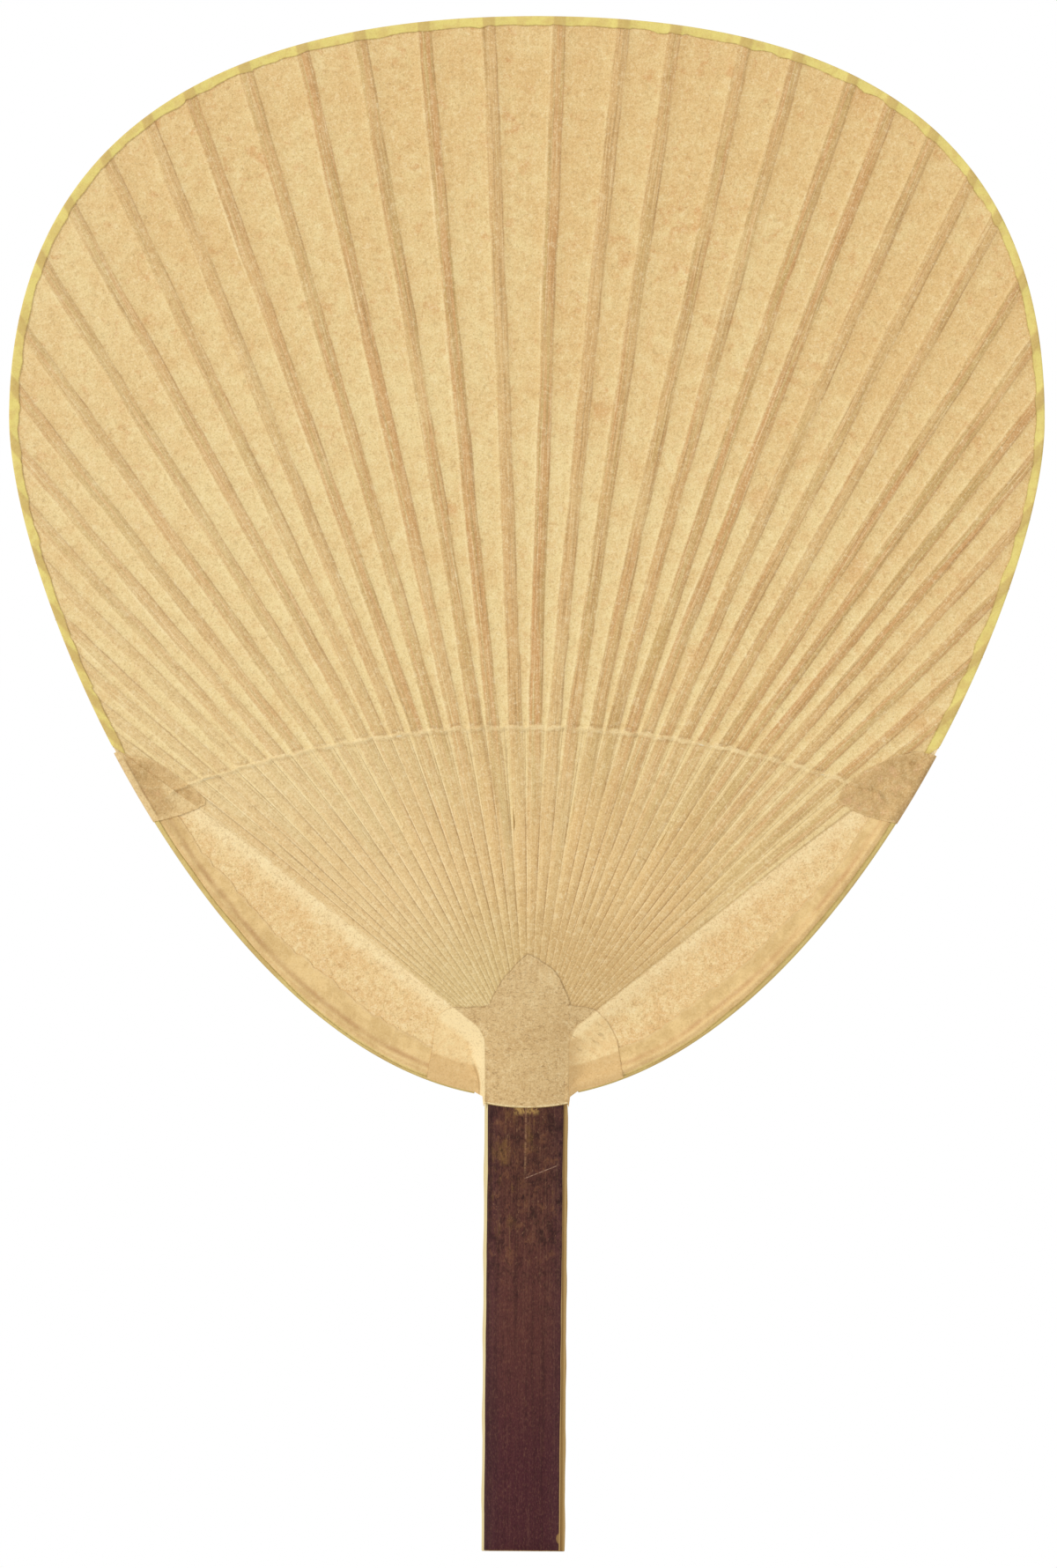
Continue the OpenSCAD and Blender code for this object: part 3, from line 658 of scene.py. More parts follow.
def start(add: Callable, name: str, **sizes: object) -> bpy.types.Object:
    """Adds something with nothing else selected.

    Args:
        add: The operator that adds it.
        name: Its name.
        sizes: What the operator is told.

    Returns:
        What was added.
    """
    bpy.ops.object.select_all(action="DESELECT")
    add(**sizes)
    made = bpy.context.object
    made.name = made.data.name = name
    return made


def score(obj: bpy.types.Object, axis: int, cuts: int) -> None:
    """Cuts a straight blank, one unit long, into equal lengths across an axis."""
    only(obj)
    bpy.context.tool_settings.mesh_select_mode = (False, True, False)
    bpy.ops.object.mode_set(mode="EDIT")
    bpy.ops.mesh.select_all(action="DESELECT")
    bpy.ops.object.mode_set(mode="OBJECT")
    for e in obj.data.edges:
        a, b = (obj.data.vertices[v].co for v in e.vertices)
        e.select = abs(a[axis] - b[axis]) > 0.5
    bpy.ops.object.mode_set(mode="EDIT")
    bpy.ops.mesh.subdivide(number_cuts=cuts)
    bpy.ops.object.mode_set(mode="OBJECT")


def refine(obj: bpy.types.Object, kind: str, **settings: object) -> None:
    """Puts a modifier on an object and applies it."""
    only(obj)
    modifier = obj.modifiers.new(kind.lower(), kind)
    for key, value in settings.items():
        setattr(modifier, key, value)
    bpy.ops.object.modifier_apply(modifier=modifier.name)


def note(obj: bpy.types.Object, name: str, kind: str, values: Numbers) -> None:
    """Keeps values on an object's points for its finish to read."""
    attribute = obj.data.attributes.new(name, kind, "POINT")
    word = "vector" if kind == "FLOAT_VECTOR" else "value"
    attribute.data.foreach_set(word, np.ascontiguousarray(values, np.float32).ravel())


def lay_sheet(name: str, points: Numbers, thick: float, notes: dict) -> bpy.types.Object:
    """Sheet of paper laid over a grid of points.

    Args:
        name: Name of the piece.
        points: Its outer face, in millimetres, in an array of rows by columns by 3.
        thick: Thickness in millimetres.
        notes: What the finish reads at each point, by name, in arrays of rows by columns (by 3).

    Returns:
        The sheet, with its wall inside the given face.
    """
    rows, cols = points.shape[:2]
    grid = bpy.ops.mesh.primitive_grid_add
    sheet = start(grid, name, x_subdivisions=cols - 1, y_subdivisions=rows - 1, size=1)
    mesh = sheet.data
    flat = np.zeros(len(mesh.vertices) * 3, np.float32)
    mesh.vertices.foreach_get("co", flat)
    flat = flat.reshape(-1, 3)
    col = np.rint((flat[:, 0] + 0.5) * (cols - 1)).astype(int)
    row = np.rint((flat[:, 1] + 0.5) * (rows - 1)).astype(int)
    mesh.vertices.foreach_set("co", np.ascontiguousarray(points[row, col] * MM, np.float32).ravel())
    for key, values in notes.items():
        note(sheet, key, "FLOAT_VECTOR" if values.ndim == 3 else "FLOAT", values[row, col])
    mesh.update()
    side = sum(f.normal.y * f.center.y * f.area for f in mesh.polygons)
    if side < 0:
        bpy.ops.object.mode_set(mode="EDIT")
        bpy.ops.mesh.select_all(action="SELECT")
        bpy.ops.mesh.flip_normals()
        bpy.ops.object.mode_set(mode="OBJECT")
    refine(sheet, "SOLIDIFY", thickness=thick * MM, offset=-1, use_even_offset=False)
    bpy.ops.object.shade_smooth_by_angle(angle=math.radians(50))
    return sheet


def lay_rod(name: str, path: Numbers, across: float, sides: int) -> bpy.types.Object:
    """Round rod along a path of points in millimetres.

    Args:
        name: Name of the piece.
        path: Points of its middle line.
        across: Diameter in millimetres.
        sides: Number of its flats.

    Returns:
        The rod.
    """
    rod = start(bpy.ops.mesh.primitive_cylinder_add, name, vertices=sides, radius=1, depth=1)
    score(rod, 2, len(path) - 2)
    ahead = np.gradient(path, axis=0)
    ahead /= np.linalg.norm(ahead, axis=1, keepdims=True)
    up = np.cross(ahead, [0, 1, 0])
    up /= np.linalg.norm(up, axis=1, keepdims=True)
    beside = np.cross(ahead, up)
    for v in rod.data.vertices:
        i = round((v.co.z + 0.5) * (len(path) - 1))
        v.co = Vector((path[i] + across / 2 * (v.co.x * up[i] + v.co.y * beside[i])) * MM)
    bpy.ops.object.shade_smooth_by_angle(angle=math.radians(40))
    return rod


def feed(tree: bpy.types.NodeTree, port: bpy.types.NodeSocket, value: object) -> None:
    """Links a signal to a socket, or sets a plain value on it."""
    if isinstance(value, Signal):
        tree.links.new(value.socket, port)
    else:
        port.default_value = value


def add_node(tree: bpy.types.NodeTree, kind: str, settings: dict, values: dict, out: object = 0) -> object:
    """Adds a node.

    Args:
        tree: Where it goes.
        kind: Its type.
        settings: Its settings, which are set first.
        values: Values or links of its sockets, by name or number.
        out: The output that is used, or a tuple of outputs.

    Returns:
        That output as a signal, or a tuple of signals.
    """
    made = tree.nodes.new(kind)
    for key, value in settings.items():
        setattr(made, key, value)
    for key, value in values.items():
        feed(tree, made.inputs[key], value)
    if isinstance(out, tuple):
        return tuple(Signal(tree, made.outputs[key]) for key in out)
    return Signal(tree, made.outputs[out])


class Signal:
    """A value or colour on its way through a finish's nodes, with the sums that can be done on it."""

    def __init__(self, tree: bpy.types.NodeTree, socket: bpy.types.NodeSocket) -> None:
        """Wraps a socket."""
        self.tree, self.socket = tree, socket

    def _math(self, operation: str, *values: object) -> "Signal":
        """Math node on these values."""
        return add_node(self.tree, "ShaderNodeMath", {"operation": operation}, dict(enumerate(values)))

    def __add__(self, other: object) -> "Signal":
        """Sum."""
        return self._math("ADD", self, other)

    __radd__ = __add__

    def __sub__(self, other: object) -> "Signal":
        """Difference."""
        return self._math("SUBTRACT", self, other)

    def __rsub__(self, other: object) -> "Signal":
        """Difference from a number."""
        return self._math("SUBTRACT", other, self)

    def __mul__(self, other: object) -> "Signal":
        """Product."""
        return self._math("MULTIPLY", self, other)

    __rmul__ = __mul__

    def __truediv__(self, other: object) -> "Signal":
        """Quotient."""
        return self._math("DIVIDE", self, other)

    def __abs__(self) -> "Signal":
        """Size without sign."""
        return self._math("ABSOLUTE", self)

    def part(self) -> "Signal":
        """What is left over the whole number below."""
        return self._math("FRACT", self)

    def whole(self) -> "Signal":
        """The whole number below."""
        return self._math("FLOOR", self)

    def top(self, other: object) -> "Signal":
        """The larger of two values."""
        return self._math("MAXIMUM", self, other)

    def steps(self, low: float, high: float) -> "Signal":
        """0 below low and 1 above high, smooth between; the other way round where low is above high."""
        settings = {"interpolation_type": "SMOOTHSTEP"}
        values = {"Value": self, "From Min": min(low, high), "From Max": max(low, high)}
        values |= {"To Min": 0, "To Max": 1} if low < high else {"To Min": 1, "To Max": 0}
        return add_node(self.tree, "ShaderNodeMapRange", settings, values, "Result")

    def near(self, place: object, width: float) -> "Signal":
        """1 at a place, falling to 0 a width away."""
        return abs(self - place).steps(width, 0)


def shade(red: int, green: int, blue: int) -> tuple:
    """Colour as a finish needs it, from its values on a screen."""
    linear = [((c / 255 + 0.055) / 1.055) ** 2.4 if c > 10 else c / 255 / 12.92 for c in (red, green, blue)]
    return (*linear, 1.0)


class Bench:
    """One material while its nodes are put together."""

    def __init__(self, name: str) -> None:
        """Starts a material."""
        self.material = bpy.data.materials.new(name)
        self.material.use_nodes = True
        self.tree = self.material.node_tree
        self.skin = self.tree.nodes["Principled BSDF"]

    def node(self, kind: str, settings: dict, values: dict, out: object = 0) -> object:
        """Adds a node, as add_node does."""
        return add_node(self.tree, kind, settings, values, out)

    def place(self) -> Signal:
        """Place on the object, in millimetres."""
        return self.scaled(self.node("ShaderNodeTexCoord", {}, {}, "Object"), 1 / MM, 1 / MM, 1 / MM)

    def noted(self, name: str) -> tuple:
        """The three values that a piece's points carry under a name."""
        return self.split(self.node("ShaderNodeAttribute", {"attribute_name": name}, {}, "Vector"))

    def noted_one(self, name: str) -> Signal:
        """The single value that a piece's points carry under a name."""
        return self.node("ShaderNodeAttribute", {"attribute_name": name}, {}, "Fac")

    def split(self, vector: Signal) -> tuple:
        """The three parts of a vector."""
        return self.node("ShaderNodeSeparateXYZ", {}, {0: vector}, (0, 1, 2))

    def vector(self, x: object, y: object, z: object) -> Signal:
        """A vector out of three values."""
        return self.node("ShaderNodeCombineXYZ", {}, {0: x, 1: y, 2: z})

    def scaled(self, vector: Signal, x: float, y: float, z: float) -> Signal:
        """A vector with its parts multiplied."""
        return self.node("ShaderNodeVectorMath", {"operation": "MULTIPLY"}, {0: vector, 1: (x, y, z)})

    def away(self, x: Signal, z: Signal, spot_x: float, spot_z: float) -> Signal:
        """Distance from a spot on the leaf's plane."""
        ends = {0: self.vector(x, z, 0.0), 1: (spot_x, spot_z, 0)}
        return self.node("ShaderNodeVectorMath", {"operation": "DISTANCE"}, ends, "Value")

    def cloud(self, at: Signal, size: float, detail: float = 3, rough: float = 0.55, warp: float = 0) -> Signal:
        """Soft noise about 0.5 with features of that size in the place's unit."""
        values = {"Vector": at, "Scale": 1 / size, "Detail": detail, "Roughness": rough, "Distortion": warp}
        return self.node("ShaderNodeTexNoise", {}, values, "Fac")

    def drift(self, across: Signal, along: Signal, detail: float = 3, rough: float = 0.6) -> Signal:
        """Soft noise about 0.5 over two values that are already in its own unit."""
        return self.cloud(self.vector(across, along, 0.0), 1, detail, rough)

    def chance(self, value: Signal) -> Signal:
        """A random share from 0 to 1 for each whole value."""
        return self.node("ShaderNodeTexWhiteNoise", {"noise_dimensions": "1D"}, {"W": value}, "Value")

    def blend(self, a: object, b: object, share: object) -> Signal:
        """Colour between a and b."""
        settings = {"data_type": "RGBA", "blend_type": "MIX", "clamp_factor": True}
        return self.node("ShaderNodeMix", settings, {0: share, 6: a, 7: b}, 2)

    def coats(self, colour: Signal, *coats: tuple) -> Signal:
        """Lays coats over a colour, one after another; each is its own colour and how much of it covers."""
        for over, share in coats:
            colour = self.blend(colour, over, share)
        return colour

    def finish(
        self,
        colour: Signal,
        rough: object,
        height: Signal,
        deep: float,
        strength: float,
        gloss: float = 0.2,
    ) -> bpy.types.Material:
        """Joins colour, roughness and relief to the shader.

        Args:
            colour: Base colour.
            rough: Roughness.
            height: Relief, from 0 to 1.
            deep: Height of the relief in metres.
            strength: Strength of the relief.
            gloss: Strength of the shine.

        Returns:
            The material.
        """
        bumps = {"Height": height, "Distance": deep, "Strength": strength}
        relief = self.node("ShaderNodeBump", {}, bumps)
        ports = {"Base Color": colour, "Roughness": rough, "Normal": relief, "Specular IOR Level": gloss}
        for key, value in ports.items():
            feed(self.tree, self.skin.inputs[key], value)
        return self.material


@dataclass(frozen=True)
class Stain:
    """A stain of age on the papers: its place and size in millimetres and its strength."""

    x: float
    z: float
    size: float
    dark: float


@dataclass(frozen=True)
class Pulp:
    """What every old paper here shares: fine grain, short pale fibres and small dark specks."""

    dark: tuple = shade(150, 108, 62)
    light: tuple = shade(255, 240, 198)
    glow: float = 1.0

    def over(self, b: Bench, colour: Signal, at: Signal, amount: object) -> tuple:
        """Lays the grain over a colour.

        Args:
            b: The material's bench.
            colour: Colour below.
            at: Place in millimetres.
            amount: Strength, from 0 to 1.

        Returns:
            The colour, and the grain from 0 to 1.
        """
        fine = b.cloud(at, 0.42, 3, 0.75)
        mid = b.cloud(at, 1.3, 3, 0.7, 0.6)
        warped = b.cloud(b.scaled(at, 1, 1, 4.0), 2.2, 3, 0.75, 2.2)
        pale = amount * self.glow
        specks = b.cloud(at, 0.5, 1, 0.5).steps(0.71, 0.76) * b.cloud(at, 9, 2, 0.5).steps(0.45, 0.6)
        colour = b.coats(
            colour,
            (self.dark, fine.steps(0.5, 0.74) * (0.26 * amount)),
            (self.light, fine.steps(0.5, 0.27) * (0.3 * pale)),
            (self.dark, mid.steps(0.5, 0.78) * (0.2 * amount)),
            (self.light, mid.steps(0.5, 0.24) * (0.2 * pale)),
            (self.light, warped.steps(0.6, 0.7) * (0.16 * pale)),
            (self.dark, specks * (0.3 * amount)),
        )
        return colour, fine * 0.5 + mid * 0.3 + warped * 0.2


@dataclass(frozen=True)
class LeafPaper:
    """Finish of the old paper: mottled, browned where it lies on bamboo, lined beside each rib, with painted
    shade and painted highlights beside the ribs, on the pleats and along the thread.
    """

    name: str = "leaf_paper"
    pale: tuple = shade(238, 213, 154)
    tan: tuple = shade(227, 190, 129)
    stain: tuple = shade(214, 158, 98)
    pleat: tuple = shade(221, 182, 123)
    ribs: tuple = (shade(218, 178, 120), shade(203, 170, 108), shade(211, 163, 106), shade(186, 148, 94))
    panel: tuple = shade(229, 189, 130)
    panel_pale: tuple = shade(241, 212, 155)
    # dark: also the colour of the painted shade on the pleats and just below the thread
    dark: tuple = shade(142, 104, 62)
    # rust: also the colour of the painted shade line on the right of each rib
    rust: tuple = shade(160, 112, 64)
    olive: tuple = shade(205, 182, 124)
    root_tan: tuple = shade(202, 170, 115)
    # bright: colour of the painted highlights beside the ribs, on the pleats and on the left side, and of pale
    # fibres
    bright: tuple = shade(251, 230, 180)
    # ridge: colour of the painted highlight along the thread's raised ridge
    ridge: tuple = shade(242, 216, 161)
    stains: tuple = (
        Stain(-20.4, 257.5, 3.2, 0.8), Stain(-20.8, 254.0, 1.4, 1.0), Stain(41.0, 221.0, 5.0, 0.6),
        Stain(80.5, 244.0, 7.0, 0.55), Stain(56.0, 260.5, 5.0, 0.5), Stain(23.0, 320.0, 3.2, 0.7),
        Stain(17.6, 283.0, 4.5, 0.7), Stain(80.0, 361.0, 6.0, 0.5), Stain(97.0, 206.0, 6.0, 0.5),
        Stain(-66.0, 156.0, 9.0, 0.35), Stain(38.0, 147.0, 9.0, 0.4), Stain(18.5, 287.5, 1.2, 0.9),
    )  # fmt: skip

    def sheet(self, b: Bench, at: Signal, r: Signal) -> Signal:
        """Colour of the paper between the ribs: paler near the thread, browned towards the rim."""
        x, _, z = b.split(at)
        wide = b.cloud(at, 34, 4, 0.6, 0.4)
        patchy = b.cloud(at, 5.5, 5, 0.68, 0.3)
        age = r.steps(95, 245)
        brown = (wide * 0.7 + patchy * 1.25 - 0.56 + age * 0.26 + x.steps(-110, 110) * 0.12).steps(0.24, 0.92)
        colour = b.blend(self.pale, self.tan, brown)
        rust = (b.cloud(at, 3.4, 4, 0.65, 0.3) + b.cloud(at, 26, 2, 0.5) * 0.35).steps(0.72, 0.9)
        colour = b.blend(colour, self.stain, rust * (0.22 + 0.4 * age))
        ragged = b.cloud(at, 2.4, 4, 0.7) * 1.6 - 0.8
        for s in self.stains:
            away = b.away(x, z, s.x, s.z)
            colour = b.blend(colour, self.stain, (away / s.size + ragged).steps(1.0, 0.1) * s.dark * 0.75)
        return colour

    def panel_colour(self, b: Bench, at: Signal, inner: Signal, count: Signal) -> Signal:
        """Colour of the side panels: orange and mottled, with a painted highlight on the slope beside the
        outermost rib, stronger on the left panel.
        """
        mottled = b.cloud(at, 1.5, 4, 0.7) * 0.55 + b.cloud(at, 6, 3, 0.6) * 0.45
        mottled = mottled + b.cloud(at, 22, 2, 0.5) * 0.5
        colour = b.blend(self.panel_pale, self.panel, mottled.steps(0.58, 0.94))
        ragged = b.cloud(at, 5, 3, 0.6) * 2.2
        # Painted highlight: the slope beside the outermost rib is painted paler, more on the left, as if lit
        # from the left.
        slope = (inner + ragged).steps(6.6, 2.4) * (0.6 - 0.2 * count.steps(1, 20))
        colour = b.blend(colour, self.bright, slope)
        return b.blend(colour, self.dark, inner.near(0.1, 0.4) * 0.35)

    def rib_colour(self, b: Bench, own: Signal, run: Signal, r: Signal) -> tuple:
        """Colour of the paper that lies on a rib, and its streaks."""
        drift = b.drift(run * 3.7 + 0.5, r * 0.022)
        streak = b.drift(run * 5.5, r * 0.03)
        thin = b.drift(run * 12.0, r * 0.03, 2, 0.5)
        colour = b.coats(
            self.ribs[0],
            (self.ribs[1], (drift + own * 0.3).steps(0.5, 0.8)),
            (self.ribs[2], (drift - own * 0.25).steps(0.42, 0.25)),
            (self.ribs[3], streak.steps(0.48, 0.7) * 0.75),
            (self.dark, thin.steps(0.56, 0.7) * 0.35),
            (self.bright, thin.steps(0.42, 0.28) * 0.4),
        )
        return colour, streak

    def lines(self, b: Bench, from_rib: Signal, half: Signal, whole: Signal, r: Signal) -> tuple:
        """Strengths and places of the painted shade line, in a rust colour, on the right of each rib and the
        fainter rusty line on its left.

        Args:
            b: The material's bench.
            from_rib: Distance from the rib's middle.
            half: Half the width of its browned band.
            whole: Number of the rib.
            r: Distance from the fan point.

        Returns:
            How strong the right line and the left one are along the rib, and their places from 0 to 1.
        """
        line = b.drift(whole * 7.0, r * 0.04).steps(0.36, 0.62)
        line_two = b.drift(whole * 9.0 + 30.0, r * 0.04).steps(0.36, 0.62)
        return line, line_two, (from_rib - half).near(0.05, 0.34), (from_rib + half).near(-0.1, 0.3)

    def cord(self, b: Bench, at: Signal, past: Signal, band: Signal, fan: Signal) -> tuple:
        """Coats over the thread: a painted highlight along its raised ridge, darker marks just above it on the
        ribs, and a painted shadow just below it.
        """
        tatter = b.cloud(at, 1.6, 4, 0.7)
        # Painted highlight along the thread's raised ridge, broken by noise.
        ridge = (abs(past) + (tatter - 0.5) * 0.9).steps(0.9, 0.3) * fan
        broken = 0.3 + 0.7 * b.cloud(at, 7, 3, 0.6).steps(0.36, 0.6)
        soil_and_shadow = (past + (tatter - 0.5) * 1.2).near(1.1, 0.8) * band * 0.32
        # Painted shadow just below the thread.
        soil_and_shadow = soil_and_shadow + past.near(-0.9, 0.5) * fan * 0.14
        return (self.ridge, ridge * 0.75 * broken), (self.dark, soil_and_shadow * tatter.steps(0.3, 0.62))

    def make(self) -> bpy.types.Material:
        """Builds the material."""
        b = Bench(self.name)
        at = b.place()
        count, r, pitch = b.noted("rib_line")
        seen, past, side = b.noted("rib_zone")
        fan, above = 1 - side, past.steps(-0.4, 0.4)
        whole = count.whole()
        own = b.chance(whole)
        wander = b.drift(whole * 5.3, r * 0.035) - 0.5
        girth = b.drift(whole * 3.1 + 50.0, r * 0.05, 2, 0.5)
        straight = (count.part() - 0.5) * pitch
        from_rib = straight + wander * 0.9 * above
        half = seen * (0.86 + 0.34 * girth)
        band = (abs(from_rib) - half).steps(0.28, -0.22) * fan
        under = b.blend(self.sheet(b, at, r), self.panel_colour(b, at, pitch, count), side)
        pleat = b.blend(self.pleat, self.pale, (pitch - seen * 2.0).steps(0.1, 1.3) * 0.75)
        on_rib, streak = self.rib_colour(b, own, from_rib * 0.24 + whole * 3.0, r)
        weak = b.drift(whole * 2.3 + 9.0, r * 0.028).steps(0.3, 0.55)
        # Painted light: the ribs' browned bands are painted fainter towards the left side, as if lit from the
        # left.
        faint = 0.42 + 0.33 * count.steps(3, 9) + 0.25 * count.steps(9, 19)
        full = above * (0.58 + 0.42 * weak) * faint + (1 - above) * (0.15 + 0.6 * r.steps(38, 82)) * faint
        line, line_two, right, left = self.lines(b, from_rib, half, whole, r)
        # Strength of the painted highlight beside each rib.
        glow = line * line_two * (0.25 + 0.75 * own.steps(0.3, 0.9))
        near_root = 1 - 0.45 * r.steps(44, 20) * count.steps(15, 22)
        below = (1 - above) * fan * (0.55 + 0.45 * count.steps(26, 10)) * near_root
        # fold, lean and facing place the painted shade and highlights on the pleats below the thread.
        fold, lean = pitch * 0.5, straight / pitch
        facing = below * r.steps(62, 28) * (0.5 + 0.5 * line)
        glint = (from_rib + half * 0.4).near(0, 0.18)
        hair = b.drift(straight * 3.6 + whole * 13.0, r * 0.09, 2)
        hairy = fan * (0.3 + 0.7 * (band + (1 - above)).steps(0.2, 1.0))
        root_colour = b.blend(self.olive, self.root_tan, count.steps(14, 24))
        colour = b.coats(
            under,
            (pleat, (1 - above) * fan * 0.8),
            (on_rib, band * full),
            # Painted shade: a rust-coloured line along the right side of each rib, where its slope is turned
            # from the light.
            (self.rust, right * fan * line * (0.42 + 0.13 * above)),
            (self.rust, left * fan * line_two * 0.26),
            # Painted highlight: a pale line along the left side of each rib above the thread.
            (self.bright, (from_rib + half).near(-0.5, 0.5) * fan * (0.06 + 0.5 * glow) * above),
            # Painted shade along the right edge of each pleat and painted highlight along its left edge.
            (self.dark, (fold - straight).near(0.1, 0.22) * below * (0.3 + 0.42 * line)),
            (self.bright, (fold + straight).near(0.14, 0.22) * below * (0.18 + 0.42 * line_two)),
            (self.bright, glint * fan * line_two * 0.45 * own.steps(0.4, 0.8)),
            # Painted shade over the right half of each pleat and painted highlight over its left half,
            # strongest near the root.
            (self.dark, lean.steps(0.08, 0.42) * facing * 0.3),
            (self.bright, lean.steps(-0.02, -0.4) * facing * 0.32),
            (self.dark, hair.steps(0.52, 0.76) * hairy * 0.3),
            (self.bright, hair.steps(0.46, 0.24) * hairy * 0.36),
            *self.cord(b, at, past, band, fan),
            # Painted light: the paper is painted paler towards the left side.
            (self.bright, count.steps(18, 6) * fan * (0.1 + 0.1 * (1 - above))),
            (root_colour, r.steps(46, 14) * fan * 0.5),
        )
        colour, grain = Pulp().over(b, colour, at, 1.45 + 0.35 * side)
        height = grain * 0.8 + streak * band * 0.2
        return b.finish(colour, 0.88 - 0.1 * grain, height, 0.00013, 0.55)


@dataclass(frozen=True)
class Marks:
    """What a strip's finish reads on its points.

    Fields:
        at: Place on the object.
        count: Number of the rib.
        r: Distance from the fan point.
        inner: Distance from the fan, on the side panels.
        outer: Distance from the lower edge, on the side panels.
        side: 1 on the side panels and 0 on the fan.
        cut: Distance from the strip's own cut edge.
    """

    at: Signal
    count: Signal
    r: Signal
    inner: Signal
    outer: Signal
    side: Signal
    cut: Signal


@dataclass(frozen=True)
class StripPaper:
    """Finish of a pasted strip: its colours, how far the ribs show through, and its cut edge's line."""

    name: str
    base: tuple
    other: tuple
    rib: tuple
    line: tuple
    mottle: float = 6.0
    show: float = 0.6
    cut: float = 0.3
    fibre: float = 0.3
    ends: tuple = (0.42, 0.62)
    grain: float = 0.6
    side_grain: float = 1.0
    glow: float = 0.6
    fibre_pale: tuple = shade(250, 230, 180)

    def tinted(self, b: Bench, colour: Signal, m: Marks) -> Signal:
        """The strip's colour with what is its own; a plain strip has nothing of its own."""
        return colour

    def make(self) -> bpy.types.Material:
        """Builds the material."""
        b = Bench(self.name)
        at = b.place()
        count, r, pitch = b.noted("rib_line")
        seen, _, side = b.noted("rib_zone")
        edge = b.noted_one("cut_edge")
        band = (abs((count.part() - 0.5) * pitch) - seen).steps(0.45, -0.3) * (1 - side)
        patchy = b.cloud(at, self.mottle, 5, 0.65, 0.3)
        fibre = b.cloud(b.scaled(at, 1, 1, 3.4), 1.5, 4, 0.75, 1.5)
        colour = b.coats(self.base, (self.other, patchy.steps(*self.ends)), (self.rib, band * self.show))
        colour = self.tinted(b, colour, Marks(at, count, r, pitch, seen, side, edge))
        marks = b.cloud(at, 1.1, 2, 0.5).steps(0.35, 0.6)
        colour = b.coats(
            colour,
            (self.line, fibre.steps(0.62, 0.74) * self.fibre),
            (self.fibre_pale, fibre.steps(0.36, 0.26) * self.fibre * 0.5),
            (self.line, edge.near(0.08, 0.24) * self.cut * (0.35 + 0.65 * marks) * (1 - 0.6 * side)),
        )
        amount = self.grain * (1 - (1 - self.side_grain) * side)
        colour, grain = Pulp(glow=self.glow).over(b, colour, at, amount)
        height = grain * 0.6 + patchy * 0.2 + fibre * 0.2
        return b.finish(colour, 0.88 - 0.1 * grain, height, 0.00015, 0.6)


@dataclass(frozen=True)
class HemPaper(StripPaper):
    """Finish of the hems: painted shade along the bow's ridge, yellowed at the very edge, soft at the cut edge.
    """

    # Brown of the painted shade along the bow's ridge.
    bow: tuple = shade(200, 156, 106)
    lip: tuple = shade(226, 204, 132)
    panel: tuple = shade(232, 200, 146)

    def tinted(self, b: Bench, colour: Signal, m: Marks) -> Signal:
        """Adds the painted shade lines along the bow's ridge, the yellow edge and the soft inner edge."""
        swayed = m.outer + b.cloud(m.at, 14, 2, 0.5) * 1.6 - 0.8
        patchy, worn = b.cloud(m.at, 9, 3, 0.6), b.cloud(m.at, 3, 3, 0.6)
        return b.coats(
            colour,
            # Painted shade: brown lines along the slopes over the bow.
            (self.bow, swayed.near(3.1, 1.1) * (0.2 + 0.6 * patchy.steps(0.35, 0.65))),
            (self.bow, swayed.near(1.5, 0.7) * 0.3),
            (self.lip, m.outer.steps(1.0, 0.5) * 0.7),
            (self.panel, (m.cut + worn * 1.2).steps(1.5, 0.5) * 0.7),
        )


@dataclass(frozen=True)
class EarPaper(StripPaper):
    """Finish of the ears: olive and pink mottling that fades into the leaf."""

    pink: tuple = shade(228, 184, 136)
    under: tuple = shade(229, 196, 139)
    pale: tuple = shade(240, 212, 156)

    def tinted(self, b: Bench, colour: Signal, m: Marks) -> Signal:
        """Adds the pink mottling, the strip along the edge and the faded inner edges."""
        left = m.count.steps(2, 1)
        soft = b.cloud(m.at, 5, 4, 0.65, 0.3)
        reach = 0.9 + 2.5 * left
        faded = ((m.cut + soft * reach) / reach).steps(1.0, 0.45)
        return b.coats(
            colour,
            (self.pink, b.cloud(m.at, 2.6, 4, 0.7).steps(0.5, 0.72) * (0.5 + 0.2 * (1 - left))),
            (self.pale, m.outer.steps(1.1, 0.7) * left * m.side * 0.6),
            (self.line, m.outer.near(1.2, 0.35) * left * m.side * 0.35),
            (self.line, m.outer.steps(0.9, 0.2) * (1 - left) * m.side * 0.2),
            (self.pale, (m.outer + soft * 3).steps(6.8, 8.6) * left * m.side * 0.7),
            (self.under, faded * (0.55 + 0.45 * left)),
        )


